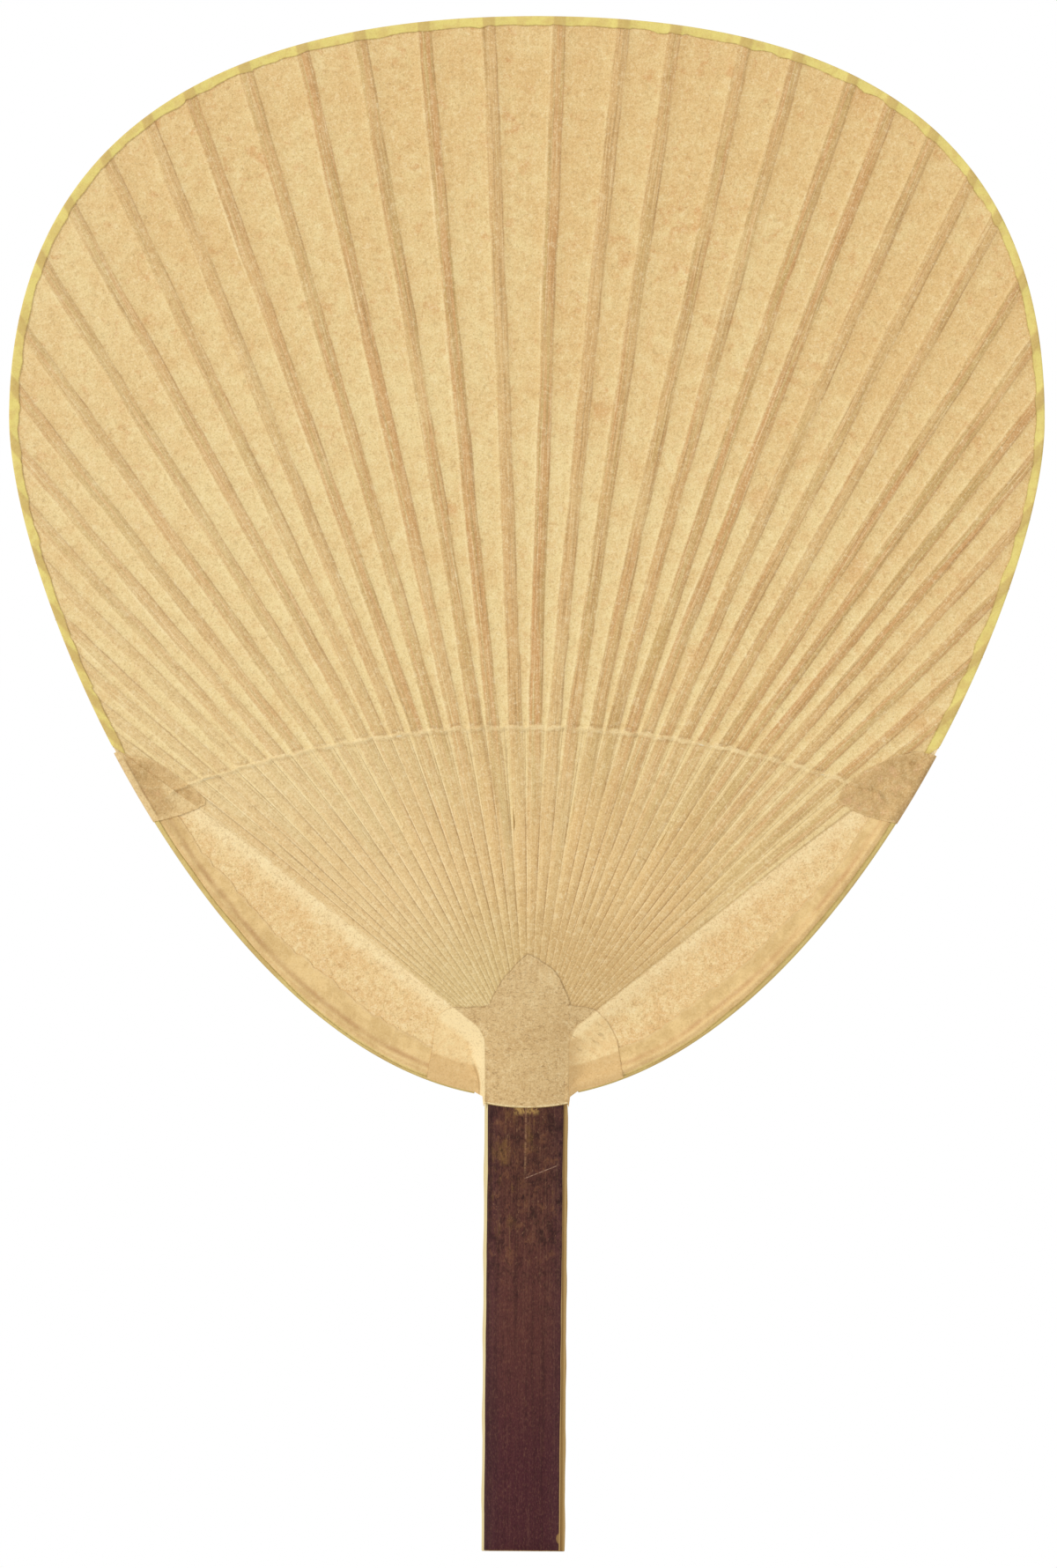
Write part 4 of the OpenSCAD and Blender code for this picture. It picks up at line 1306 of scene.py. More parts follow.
@dataclass(frozen=True)
class NeckPaper(StripPaper):
    """Finish of the neck patches: fibrous and grey over the slip, thin on the lobes."""

    lobe: tuple = shade(235, 199, 141)
    lobe_pale: tuple = shade(246, 219, 163)
    hem: tuple = shade(220, 182, 124)
    # Colour of the painted highlights on the slopes beside the slip.
    slope: tuple = shade(248, 224, 172)
    shadow: tuple = shade(202, 166, 112)
    foot: tuple = shade(248, 229, 180)

    def lobes(self, b: Bench, m: Marks, soft: Signal, x: Signal, z: Signal, right: Signal) -> Signal:
        """Colour of the lobes, with a painted highlight on the slope on the left of the slip, painted shade on
        the slope on the right, and painted shade in the creases and wrinkles.

        Args:
            b: The material's bench.
            m: What the finish reads.
            soft: Soft mottling.
            x: Place across the leaf.
            z: Height.
            right: 1 on the right lobe.

        Returns:
            The colour.
        """
        mottled = b.cloud(m.at, 1.6, 4, 0.7) * 0.5 + soft * 0.5
        from_rib = (m.inner + soft * 1.2) * (1 + 0.9 * z.steps(124, 113))
        wrinkle = b.drift(x * 0.5 + z * 0.8, x * 0.16 - z * 0.1, 2).steps(0.53, 0.64)
        return b.coats(
            self.lobe_pale,
            (self.lobe, mottled.steps(0.28, 0.68)),
            (self.hem, (m.outer + soft * 0.8).steps(7.2, 6.5) * 0.85),
            # Painted highlight on the left slope, and a painted shade line in the crease at its foot.
            (self.slope, from_rib.steps(6.0, 4.2) * (1 - right) * 0.85),
            (self.line, from_rib.near(6.2, 1.0) * z.steps(123, 119) * (1 - right) * 0.4),
            # Painted highlight on the top of the right slope, painted shadow below it, painted shade in its
            # wrinkles and a painted shadow line beside the slip.
            (self.slope, (m.inner + soft * 1.2).steps(3.6, 2.0) * right * z.steps(127, 129) * 0.75),
            (self.shadow, (m.inner + soft * 2.0).steps(6.5, 1.5) * right * z.steps(128, 126) * 0.7),
            (self.line, wrinkle * m.inner.steps(9, 3) * z.near(127, 7) * right * 0.6),
            (self.line, m.inner.near(0.2, 0.45) * right * z.steps(131, 127) * 0.65),
        )

    def tinted(self, b: Bench, colour: Signal, m: Marks) -> Signal:
        """Adds the creases over the slip, the pale lower edge and the lobes."""
        right = m.count.steps(10, 20)
        soft = b.cloud(m.at, 3.2, 4, 0.65)
        x, _, z = b.split(m.at)
        creases = b.cloud(b.scaled(m.at, 1, 1, 2.4), 1.3, 4, 0.75, 0.5)
        fold = b.drift(x * 0.5 + z * 0.5, x * 0.12 - z * 0.12, 3, 0.7)
        lobe = self.lobes(b, m, soft, x, z, right)
        middle = 1 - m.side
        low = m.cut.steps(0.75, 0.4) * z.steps(113, 112) * middle
        return b.coats(
            colour,
            (self.line, creases.steps(0.53, 0.66) * 0.55 * middle),
            (self.foot, fold.steps(0.44, 0.3) * 0.2 * middle),
            (lobe, m.side * (m.inner + soft * (1 - right)).steps(0.1, 0.6)),
            (self.foot, m.r.steps(0, 12) * middle * 0.1),
            (self.foot, low * soft.steps(0.36, 0.58) * 0.75),
            (lobe, m.side * m.cut.steps(0.6, 0.3) * 0.75),
        )


@dataclass(frozen=True)
class GripSkin:
    """Finish of the slip: stained dark on its rounded skin, bare bamboo everywhere else, with the left shaved
    edge painted paler as lit and the right one painted browner as shaded.
    """

    name: str = "grip_bamboo"
    half: float = 10.25
    shaved: float = 1.1
    top: tuple = shade(82, 47, 38)
    middle: tuple = shade(89, 49, 44)
    low: tuple = shade(74, 34, 40)
    plum: tuple = shade(76, 44, 50)
    brown: tuple = shade(112, 72, 50)
    golden: tuple = shade(128, 92, 52)
    dark: tuple = shade(38, 17, 16)
    worn: tuple = shade(160, 122, 90)
    bare: tuple = shade(206, 174, 116)
    bare_dark: tuple = shade(168, 132, 78)
    smear: tuple = shade(196, 158, 92)
    scratched: tuple = shade(186, 152, 128)
    # Shaved edges: the left one painted pale cream as a painted highlight, the right one painted brown as
    # painted shade.
    cut_painted_lit: tuple = shade(222, 206, 158)
    cut_painted_shaded: tuple = shade(146, 108, 54)
    cut_line: tuple = shade(96, 66, 38)
    spot: tuple = (9.3, 3.2)

    def make(self) -> bpy.types.Material:
        """Builds the material."""
        b = Bench(self.name)
        at = b.place()
        x, y, z = b.split(at)
        grain = b.cloud(b.scaled(at, 1, 1, 0.022), 0.4, 3, 0.6)
        strand = b.cloud(b.scaled(at, 1, 1, 0.02), 1.7, 3, 0.6)
        blotch = b.cloud(b.scaled(at, 1, 1, 0.5), 4.2, 4, 0.65, 0.3)
        speck = b.cloud(b.scaled(at, 1, 1, 0.6), 0.7, 3, 0.65, 0.3)
        wander = (b.drift(z * 0.06, 0.0, 2, 0.5) - 0.5) * 0.5
        edge = self.half - self.shaved
        stained = self.stained(b, at, grain, strand, blotch, speck)
        stained = self.marked(b, stained, (x, z), speck, wander)
        bald = (b.away(x, z, *self.spot) + blotch * 2 - 1.0).steps(1.6, 1.1)
        stained = b.blend(stained, self.bare_dark, bald * 0.7)
        shaved = y.steps(0.4, -0.2)
        wood = b.coats(
            self.bare,
            (self.bare_dark, strand.steps(0.35, 0.7)),
            (self.bare_dark, grain.steps(0.5, 0.75) * 0.6),
            # Painted highlight on the left shaved edge and painted shade on the right one.
            (self.cut_painted_lit, x.steps(-9.0, -9.3) * shaved * 0.85),
            (self.cut_painted_shaded, x.steps(9.0, 9.2) * x.steps(9.95, 9.6) * shaved * 0.75),
            (self.cut_line, (abs(x) + wander - edge - 0.12).near(0.0, 0.18) * shaved * 0.6),
        )
        skin = (abs(x + 0.1 + (110 - z) * 0.0035) + wander).steps(edge + 0.22, edge + 0.1)
        skin = skin * y.steps(-0.9, -1.1) * z.steps(0.12, 0.25)
        rough = 0.62 - 0.2 * skin + 0.1 * speck
        height = grain * 0.6 + strand * 0.25 + speck * 0.15
        return b.finish(b.blend(wood, stained, skin), rough, height, 0.00012, 0.45, 0.12)

    def stained(
        self, b: Bench, at: Signal, grain: Signal, strand: Signal, blotch: Signal, speck: Signal
    ) -> Signal:
        """Colour of the stained skin: plum at the bottom, brown and blotched towards the leaf.

        Args:
            b: The material's bench.
            at: Place in millimetres.
            grain: Fine grain along the slip.
            strand: Coarse grain along the slip.
            blotch: Large soft noise.
            speck: Small noise.

        Returns:
            The colour.
        """
        x, _, z = b.split(at)
        fine = b.cloud(b.scaled(at, 1, 1, 0.4), 0.3, 2, 0.6)
        patches = b.cloud(b.scaled(at, 1, 1, 0.8), 2.6, 4, 0.65, 0.4)
        dots = b.cloud(b.scaled(at, 1, 1, 0.75), 1.25, 3, 0.55)
        high = z.steps(52, 84)
        gold = (blotch + grain * 0.3 - abs(x + 3) * 0.012).steps(0.6, 0.8) * z.steps(66, 92)
        return b.coats(
            self.low,
            (self.middle, z.steps(18, 60)),
            (self.top, z.steps(62, 104)),
            (self.plum, abs(x).steps(4.5, 9.5) * 0.45),
            (self.dark, strand.steps(0.5, 0.74) * 0.4),
            (self.worn, grain.steps(0.52, 0.75) * (0.08 + 0.13 * high)),
            (self.dark, grain.steps(0.48, 0.25) * 0.36),
            (self.dark, patches.steps(0.5, 0.66) * (0.15 + 0.5 * high)),
            (self.brown, patches.steps(0.46, 0.32) * (0.1 + 0.65 * high)),
            (self.golden, gold * (0.3 + 0.5 * speck.steps(0.4, 0.6))),
            (self.dark, dots.steps(0.56, 0.66) * (0.1 + 0.38 * high)),
            (self.dark, speck.steps(0.56, 0.68) * (0.25 + 0.35 * high)),
            (self.worn, speck.steps(0.4, 0.28) * (0.1 + 0.3 * high)),
            (self.dark, fine.steps(0.5, 0.72) * 0.3),
            (self.worn, fine.steps(0.5, 0.28) * 0.14),
        )

    def marked(self, b: Bench, colour: Signal, at: tuple, speck: Signal, wander: Signal) -> Signal:
        """Adds the paste below the leaf, the dark edges, a streak, the pale line and the scratch.

        Args:
            b: The material's bench.
            colour: Colour below.
            at: Place across the slip, and height.
            speck: Small noise.
            wander: How far the lines along the slip stray.

        Returns:
            The colour.
        """
        x, z = at
        edge = self.half - self.shaved
        paste = z.steps(107.4, 109.0) * speck.steps(0.42, 0.6) * abs(x).steps(4, 2)
        broken = b.drift(z * 0.9, x * 0.3, 3, 0.7).steps(0.38, 0.6)
        pale_line = (x + 0.1 + wander).near(0.0, 0.4) * z.steps(92, 95) * broken
        scratch = (z - (92.2 + (x + 0.4) * 0.4)).near(0.0, 0.17) * x.steps(-0.5, -0.1) * x.steps(7.9, 7.4)
        return b.coats(
            colour,
            (self.smear, paste * 0.7),
            (self.dark, abs(x).steps(edge - 0.8, edge) * 0.4),
            (self.dark, (x + 8.6 + wander).near(0.0, 0.7) * z.steps(72, 84) * 0.5),
            (self.worn, pale_line * 0.6),
            (self.scratched, scratch * speck.steps(0.3, 0.55) * 0.75),
        )


@dataclass(frozen=True)
class Strand:
    """Finish of the hidden bow and thread: their two colours and the length of their grain."""

    name: str
    base: tuple
    other: tuple
    stretch: float

    def make(self) -> bpy.types.Material:
        """Builds the material."""
        b = Bench(self.name)
        at = b.place()
        grain = b.cloud(b.scaled(at, self.stretch, 1, 1), 0.5, 3, 0.6)
        colour = b.blend(self.base, self.other, grain.steps(0.35, 0.68))
        return b.finish(colour, 0.7 - 0.1 * grain, grain, 0.0001, 0.5)


def dress(obj: bpy.types.Object, material: bpy.types.Material, slot: str, *nodes: str) -> None:
    """Gives a piece its finish and lets it ride in place of its CAD nodes."""
    obj.data.materials.clear()
    obj.data.materials.append(material)
    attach(obj, "root")
    if nodes:
        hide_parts(*nodes)
    log.info("%s: %d faces", obj.name, len(obj.data.polygons))


@dataclass
class Papers:
    """Front and back papers of the leaf."""

    plan: LeafPlan
    finish: LeafPaper = field(default_factory=LeafPaper)

    def grid(self, face: Face) -> Patch:
        """Grid of one paper, from its left edge to its right one."""
        p = self.plan
        fan = Pleats(p, face).patch(lambda u: rows_of(p, u))
        sides = []
        for hand in Hand:
            panel = SidePanel(p, hand, face)
            r = rows_of(p, np.array([hand.value * p.rim_u]))[:, 0]
            _, _, run, long = panel.spread(r)
            sides.append(panel.patch(r, panel.shares(run, long)))
        return side_by_side(sides[0], fan, turned(sides[1]))

    def build(self) -> None:
        """Makes both papers."""
        paper = self.finish.make()
        for face in Face:
            grid = self.grid(face)
            points = spread(grid, face, self.plan.paper_t)
            name = f"{face.name.lower()}_paper"
            notes = {"rib_line": grid.line, "rib_zone": grid.zone}
            sheet = lay_sheet(f"leaf_{face.name.lower()}", points, self.plan.paper_t, notes)
            dress(sheet, paper, "washi", name)


@dataclass
class RimBinding:
    """Strip of yellow paper folded over the rim, wider towards the right corner."""

    plan: LeafPlan
    corner_more: float = 0.3
    finish: StripPaper = field(
        default_factory=lambda: StripPaper(
            "rim_binding_paper", base=shade(232, 214, 126), other=shade(223, 198, 118),
            rib=shade(203, 171, 104), line=shade(150, 112, 62), mottle=4.0, show=0.7, cut=0.5, fibre=0.12,
        )
    )  # fmt: skip

    def rows(self, u: Numbers, widths: list) -> Numbers:
        """Rows at these distances outside the papers' rim."""
        r = self.plan.rim_at(u)
        return stacked([r + self.plan.rim_band(u, r, w) for w in widths])

    def build(self) -> None:
        """Makes the binding."""
        p = self.plan
        rng = np.random.default_rng(5)
        faces, rows = {}, (1.0, 0.75, 0.45, 0.2, 0.06)
        for face in Face:
            rib, kind = Pleats(p, face).nodes()
            wide = p.rim_w * (1 + 0.08 * np.sin(rib * 2.3 + kind) + 0.07 * rng.standard_normal(len(rib)))
            wide = wide * (1 + self.corner_more * ease((rib - 32) / 4))
            faces[face] = Pleats(p, face).patch(lambda u, w=wide: self.rows(u, [-w * k for k in rows]))
        front, back = faces.values()
        lift = p.paper_t + p.paste + p.strip_t
        first, last = spread(front, Face.FRONT, lift), spread(back, Face.BACK, lift)[::-1]
        out = Pleats(p, Face.FRONT).patch(lambda u: self.rows(u, [p.wrap_in * k for k in (0.6, 0.9, 0.6)]))
        nose = spread(out, Face.FRONT, lift)
        nose[..., 1] *= np.array([0.8, 0.0, -0.8])[:, None]
        points = np.concatenate([first, nose, last])
        line = np.concatenate([front.line, out.line, back.line[::-1]])
        zone = np.concatenate([front.zone, out.zone, back.zone[::-1]])
        cut = [(1 - k) * p.rim_w for k in rows]
        edge = np.array(cut + [9, 9, 9] + cut[::-1])[:, None] * np.ones(points.shape[1])
        notes = {"rib_line": line, "rib_zone": zone, "cut_edge": edge}
        sheet = lay_sheet("rim_strip", points, p.strip_t, notes)
        dress(sheet, self.finish.make(), "binding", "rim_binding")


FOLD_STEPS = (1.0, 0.93, 0.82, 0.7, 0.58, 0.46, 0.36, 0.28, 0.2, 0.12, 0.05, 0.0)
"""Shares of a folded strip's depth at which its points lie, from its cut edge to the fold."""


def folded(plan: LeafPlan, hand: Hand, r: Numbers, widths: dict, lift: float, push: float) -> tuple:
    """Strip folded over the lower edge of the leaf.

    Args:
        plan: The leaf.
        hand: Its side.
        r: Rows along the edge, as distances from the fan point.
        widths: Depth of the strip inside the edge on each face, one for each row.
        lift: Distance of its outer face from the papers' inner faces.
        push: Distance of its outer face beyond the papers' edge.

    Returns:
        The points, and what the finish reads at each of them.
    """
    parts, lines, zones, cuts = [], [], [], []
    for face in Face:
        panel = SidePanel(plan, hand, face)
        _, _, run, _ = panel.spread(r)
        w = np.minimum(widths[face], run * 0.75)
        steps = np.array(FOLD_STEPS)
        grid = panel.patch(r, steps * (w / run)[:, None])
        points = spread(grid, face, lift)
        out = np.insert(panel.outward(r), 1, 0, axis=1)
        nose = points[:, -1:] + out[:, None] * np.array([0.7, 1.0])[None, :, None] * push
        nose[..., 1] *= np.array([0.75, 0.0])
        if face is Face.BACK:
            nose = nose[:, :1]
        block = np.concatenate([points, nose], 1)
        pad = block.shape[1] - points.shape[1]
        line = np.concatenate([grid.line, np.repeat(grid.line[:, -1:], pad, 1)], 1)
        zone = np.concatenate([grid.zone, np.repeat(grid.zone[:, -1:], pad, 1)], 1)
        cut = np.concatenate([(1 - steps) * w[:, None], np.full((len(r), pad), 9.0)], 1)
        order = slice(None) if face is Face.FRONT else slice(None, None, -1)
        for store, value in ((parts, block), (lines, line), (zones, zone), (cuts, cut)):
            store.append(value[:, order])
    notes = {"rib_line": lines, "rib_zone": zones, "cut_edge": cuts}
    return np.concatenate(parts, 1), {key: np.concatenate(value, 1) for key, value in notes.items()}


@dataclass
class LowerEdge:
    """Hems over the bow and the thin yellow strips on them, on both sides of the grip.

    Fields:
        plan: The leaf.
        back_less: How much narrower the hems are on the back.
        lip: Width of the yellow strips on the front, beside the grip and at the corners.
        narrow_to: Where the left strip and the right one begin to widen.
        back_lip: Width of the yellow strips on the back.
        hem: Finish of the hems.
        strip: Finish of the yellow strips.
    """

    plan: LeafPlan
    back_less: float = 0.8
    lip: tuple = (0.3, 0.75)
    narrow_to: tuple = (38, 20)
    back_lip: float = 1.8
    hem: StripPaper = field(
        default_factory=lambda: HemPaper(
            "hem_paper", base=shade(219, 185, 126), other=shade(236, 203, 143), rib=shade(204, 170, 112),
            line=shade(176, 138, 90), mottle=7.0, show=0.0, cut=0.3, fibre=0.2, grain=0.9,
        )
    )  # fmt: skip
    strip: StripPaper = field(
        default_factory=lambda: StripPaper(
            "lower_strip_paper", base=shade(214, 190, 120), other=shade(202, 173, 108),
            rib=shade(204, 170, 112), line=shade(150, 122, 62), mottle=14.0, show=0.0, cut=1.2, fibre=0.1,
        )
    )  # fmt: skip

    def rows(self, hand: Hand) -> Numbers:
        """Rows along the edge, from the grip to just above the thread's end."""
        weave = float(self.plan.thread_at(self.plan.turn(hand.value * self.plan.rim_u)))
        return np.concatenate([np.linspace(self.plan.scoop_r, 12, 16), np.linspace(14, weave + 2.5, 64)])

    def build(self) -> None:
        """Makes the hems and the strips."""
        p = self.plan
        hem, strip = self.hem.make(), self.strip.make()
        lift = p.paper_t + p.paste + p.strip_t
        over = lift + 2 * p.paste + p.strip_t
        for hand in Hand:
            word = hand.name.lower()
            r = self.rows(hand)
            rng = np.random.default_rng(21 + hand.value)
            ragged = 0.25 * np.sin(r / 5.1 + hand.value) + 0.18 * rng.standard_normal(len(r))
            full = p.hem_deep(r, hand) + ragged
            deep = {Face.FRONT: full, Face.BACK: full - self.back_less + ragged}
            points, notes = folded(p, hand, r, deep, lift, p.paste + p.strip_t)
            sheet = lay_sheet(f"hem_fold_{word}", points, p.strip_t, notes)
            dress(sheet, hem, "hem", f"hem_{word}")
            widening = ease((r - self.narrow_to[hand is Hand.RIGHT]) / 30)
            lip = mix(*self.lip, widening) + 0.06 * np.sin(r / 2.7)
            low = {Face.FRONT: lip, Face.BACK: np.full_like(lip, self.back_lip) + 0.2 * np.sin(r / 4.0)}
            points, notes = folded(p, hand, r, low, over, p.wrap_in + p.paste + p.strip_t)
            sheet = lay_sheet(f"edge_strip_{word}", points, p.strip_t, notes)
            dress(sheet, strip, "binding", f"lower_binding_{word}")


@dataclass
class Ears:
    """Brown patches wrapped round the corners of the leaf, over the ends of the thread.

    Fields:
        plan: The leaf.
        foot: How far below the thread they start on the lower edge, left and right.
        deep: How far below the thread they reach beside the fan.
        tip: How far below the rim's corner they end, left and right.
        rise: How their lower edge rises, from the outermost rib to the inner end.
        over: How far above the thread their upper edge lies, from the outermost rib to the inner end.
        shares: Places across the side panel at which their points lie.
        fade: Width of the cut edge's fading over their height.
        finish: Their finish.
    """

    plan: LeafPlan
    foot: tuple = (1.4, 0.8)
    deep: float = 7.7
    tip: tuple = (0.2, -0.1)
    rise: tuple = (0.0, 0.7, 5.2)
    over: tuple = (16.2, 12.5, 4.5)
    shares: tuple = (0, 0.02, 0.05, 0.08, 0.12, 0.17, 0.23, 0.3, 0.4, 0.5, 0.6, 0.7, 0.8, 0.88, 0.94, 0.98)
    fade: float = 14
    finish: StripPaper = field(
        default_factory=lambda: EarPaper(
            "ear_paper", base=shade(211, 175, 119), other=shade(187, 153, 99), rib=shade(199, 162, 108),
            line=shade(140, 106, 66), mottle=2.2, show=0.3, cut=0.0, fibre=0.4, ends=(0.38, 0.72),
            grain=1.9, glow=0.5,
        )
    )  # fmt: skip

    @property
    def runs(self) -> Numbers:
        """Shares of the way up an ear at which its rows lie, closer together over the thread."""
        return np.unique(np.concatenate([np.linspace(0, 1, 15), np.linspace(0.28, 0.4, 13)]).round(4))

    def face_grid(self, hand: Hand, face: Face) -> tuple:
        """Grid of an ear on one face.

        Args:
            hand: Its side of the leaf.
            face: Its face.

        Returns:
            The grid from its inner end to the leaf's edge, its lift, and its distance from the cut edge.
        """
        p, sign = self.plan, hand.value
        rib = 0 if hand is Hand.LEFT else p.ribs - 1
        pleats = Pleats(p, face, first=rib, last=rib)
        _, kind = pleats.nodes()
        from_corner = (kind + 4) / 8 if hand is Hand.LEFT else (4 - kind) / 8
        c = 2 * from_corner
        t = self.runs[:, None]

        def fan_rows(u: Numbers) -> Numbers:
            """Rows of the ear on the fan's columns."""
            weave = p.thread_at(p.turn(u))
            low = weave - self.deep + np.interp(c, (0, 1, 2), self.rise)
            top = weave + np.interp(c, (0, 1, 2), self.over)
            return stacked([mix(low, top, k) for k in t[:, 0]])

        fan = pleats.patch(fan_rows)
        ends = np.minimum(t, 1 - t) * self.fade
        fan_cut = np.minimum(ends, (2 - c)[None])
        corner = float(p.rim_at(sign * p.rim_u))
        weave = float(p.thread_at(p.turn(sign * p.rim_u)))
        panel = SidePanel(p, hand, face)
        blocks, cuts, lifts = [], [], []
        for s in self.shares:
            low = weave - mix(self.foot[sign > 0], self.deep, s)
            top = mix(corner - self.tip[sign > 0], weave + self.over[0], s)
            r = mix(low, top, t[:, 0])
            blocks.append(panel.patch(r, np.full((len(r), 1), s)))
            cuts.append(ends)
            lifts.append(p.pressed(s * panel.spread(r)[2], p.hem_w, face)[:, None])
        side = side_by_side(*blocks)
        u = (fan.line[..., 0] - 0.5) / p.steps - 1
        inside = (p.rim_at(u) - fan.line[..., 1]) / p.rim_band(u, fan.line[..., 1], 1.0)
        side_cut, side_lift = np.concatenate(cuts, 1), np.concatenate(lifts, 1)
        fan_lift = p.pressed(inside, p.hem_w, face)
        if hand is Hand.LEFT:
            fan, fan_lift, fan_cut = turned(fan), fan_lift[:, ::-1], fan_cut[:, ::-1]
        return (
            side_by_side(fan, turned(side)),
            np.concatenate([fan_lift, side_lift[:, ::-1]], 1),
            np.concatenate([fan_cut, side_cut[:, ::-1]], 1),
        )

    def build(self) -> None:
        """Makes both ears."""
        p = self.plan
        brown = self.finish.make()
        for hand in Hand:
            (front, lift, cut), (back, back_lift, back_cut) = (self.face_grid(hand, face) for face in Face)
            a = spread(front, Face.FRONT, lift)
            z = spread(back, Face.BACK, back_lift)[:, ::-1]
            corner = float(p.rim_at(hand.value * p.rim_u))
            weave = float(p.thread_at(p.turn(hand.value * p.rim_u)))
            r = mix(weave - self.foot[hand is Hand.RIGHT], corner, self.runs)
            out = np.insert(SidePanel(p, hand, Face.FRONT).outward(r), 1, 0, axis=1)
            push = 2 * p.wrap_in + p.paste + p.strip_t
            rounding = ((0.87, 0.7), (0.5, 1.0), (0.13, 0.7))
            nose = np.stack([a[:, -1] * w + z[:, 0] * (1 - w) + out * push * k for w, k in rounding], 1)
            points = np.concatenate([a, nose, z], 1)
            line = np.concatenate([front.line, np.repeat(front.line[:, -1:], 3, 1), back.line[:, ::-1]], 1)
            zone = np.concatenate([front.zone, np.repeat(front.zone[:, -1:], 3, 1), back.zone[:, ::-1]], 1)
            edge = np.concatenate([cut, np.repeat(cut[:, -1:], 3, 1), back_cut[:, ::-1]], 1)
            notes = {"rib_line": line, "rib_zone": zone, "cut_edge": edge}
            word = hand.name.lower()
            sheet = lay_sheet(f"corner_patch_{word}", points, p.strip_t, notes)
            dress(sheet, brown, "ear", f"ear_{word}")


@dataclass
class NeckPatches:
    """Pointed patches over the ribs' roots, with a lobe on each side, one on each face.

    Fields:
        plan: The leaf.
        dome: Upper edge over the fan: place across it and distance from the fan point.
        lobes: Upper edges over the side panels, left and right.
        shares: Places across the side panel at which the lobes' points lie.
        pleat: Depth of the pleats over the ribs.
        sunk: How far the paste draws the patch in.
        lobe_press: How much deeper the lobes are pressed beside the fan.
        finish: Their finish.
    """

    plan: LeafPlan
    dome: tuple = (
        (-1.03, 10.9), (-0.85, 9.3), (-0.7, 8.5), (-0.52, 8.1), (-0.39, 10.65),
        (-0.265, 13.0), (-0.12, 15.9), (0.026, 19.6), (0.16, 17.9), (0.275, 16.25),
        (0.41, 13.4), (0.545, 10.5), (0.635, 8.4), (0.8, 8.9), (1.03, 9.8),
    )  # fmt: skip
    lobes: tuple = (
        ((0, 4.4), (0.2, 6.6), (0.39, 8.55), (0.6, 11.2), (0.78, 13.1), (0.91, 12.4), (1, 10.9)),
        ((0, 3.8), (0.09, 4.6), (0.31, 7.0), (0.51, 9.3), (0.77, 10.4), (1, 9.8)),
    )
    shares: tuple = (0, 0.03, 0.07, 0.12, 0.18, 0.26, 0.34, 0.43, 0.52, 0.61, 0.7, 0.78, 0.86, 0.93, 0.98)
    pleat: float = 0.07
    sunk: float = 0.006
    lobe_press: float = 0.06
    finish: StripPaper = field(
        default_factory=lambda: NeckPaper(
            "patch_paper", base=shade(219, 188, 135), other=shade(208, 174, 121), rib=shade(199, 164, 110),
            line=shade(140, 104, 62), mottle=4.0, show=0.15, cut=0.6, fibre=0.7, ends=(0.35, 0.66),
            grain=2.2, side_grain=0.55, glow=0.45,
        )
    )  # fmt: skip

    def rows(self, top: Numbers, u: Numbers) -> Numbers:
        """Rows of the patch below its upper edge at u."""
        p = self.plan
        top = np.asarray(top, float)
        marks = [p.tab_end(u) + 0.2, p.foot_r, p.scoop_r, p.root_r]
        out = []
        for a, b in zip(marks, marks[1:]):
            out += [mix(a, b, k / 4) + 0 * top for k in range(4)]
        return np.stack(out + [mix(p.root_r, top, k / 26) for k in range(27)])

    def lobe(self, hand: Hand, face: Face) -> tuple:
        """Grid of one lobe, from left to right, and its lift."""
        p, panel = self.plan, SidePanel(self.plan, hand, face)
        blocks, steps = [], []
        for s in self.shares:
            crest = float(np.interp(s, *zip(*self.lobes[hand is Hand.RIGHT])))
            r = self.rows(np.array([crest]), np.array([p.rim_u]))[:, 0]
            blocks.append(panel.patch(r, np.full((len(r), 1), s)))
            lift = p.pressed(s * panel.spread(r)[2], p.hem_deep(r, hand), face)
            steps.append(lift - self.lobe_press * ease((1 - s) / 0.15))
        side, step = side_by_side(*blocks), np.stack(steps, 1)
        return (side, step) if hand is Hand.LEFT else (turned(side), step[:, ::-1])

    def middle(self, face: Face) -> tuple:
        """Grid of the part over the fan, and its lift."""
        p = self.plan
        rng = np.random.default_rng(31 + face.value)
        u = np.linspace(-p.rim_u, p.rim_u, 121)
        ragged = 0.1 * np.sin(u * 23) + 0.07 * rng.standard_normal(len(u))
        top = np.interp(u, *zip(*self.dome)) + ragged * np.minimum(1, (1 - np.abs(u) / p.rim_u) * 6)
        r = self.rows(top, u)
        rib = np.rint(u * p.steps + p.steps)
        phase = (u * p.steps + p.steps - rib) * 2 * np.pi
        pleat = self.pleat * np.cos(phase) * ease((r - 5) / 11) - self.sunk
        line = np.stack(np.broadcast_arrays((u + 1) * p.steps + 0.5, r, p.pitch(u, r)), -1)
        zone = np.stack(np.broadcast_arrays(p.rib_seen(u, r), r - p.thread_rise, 0.0), -1)
        points = p.fan_point(np.broadcast_to(u, r.shape), r)
        left, right = (
            p.pressed(SidePanel(p, hand, face).spread(r[:, 0])[2], p.hem_deep(r[:, 0], hand), face)[:, None]
            for hand in Hand
        )
        free = ease((p.rim_u - np.abs(u)) / 0.07)
        lift = mix(np.where(u < 0, left, right), p.pressed(99.0, 0.0, face), free)
        return Patch(points, p.level(u, r, face) + pleat, line, zone), lift

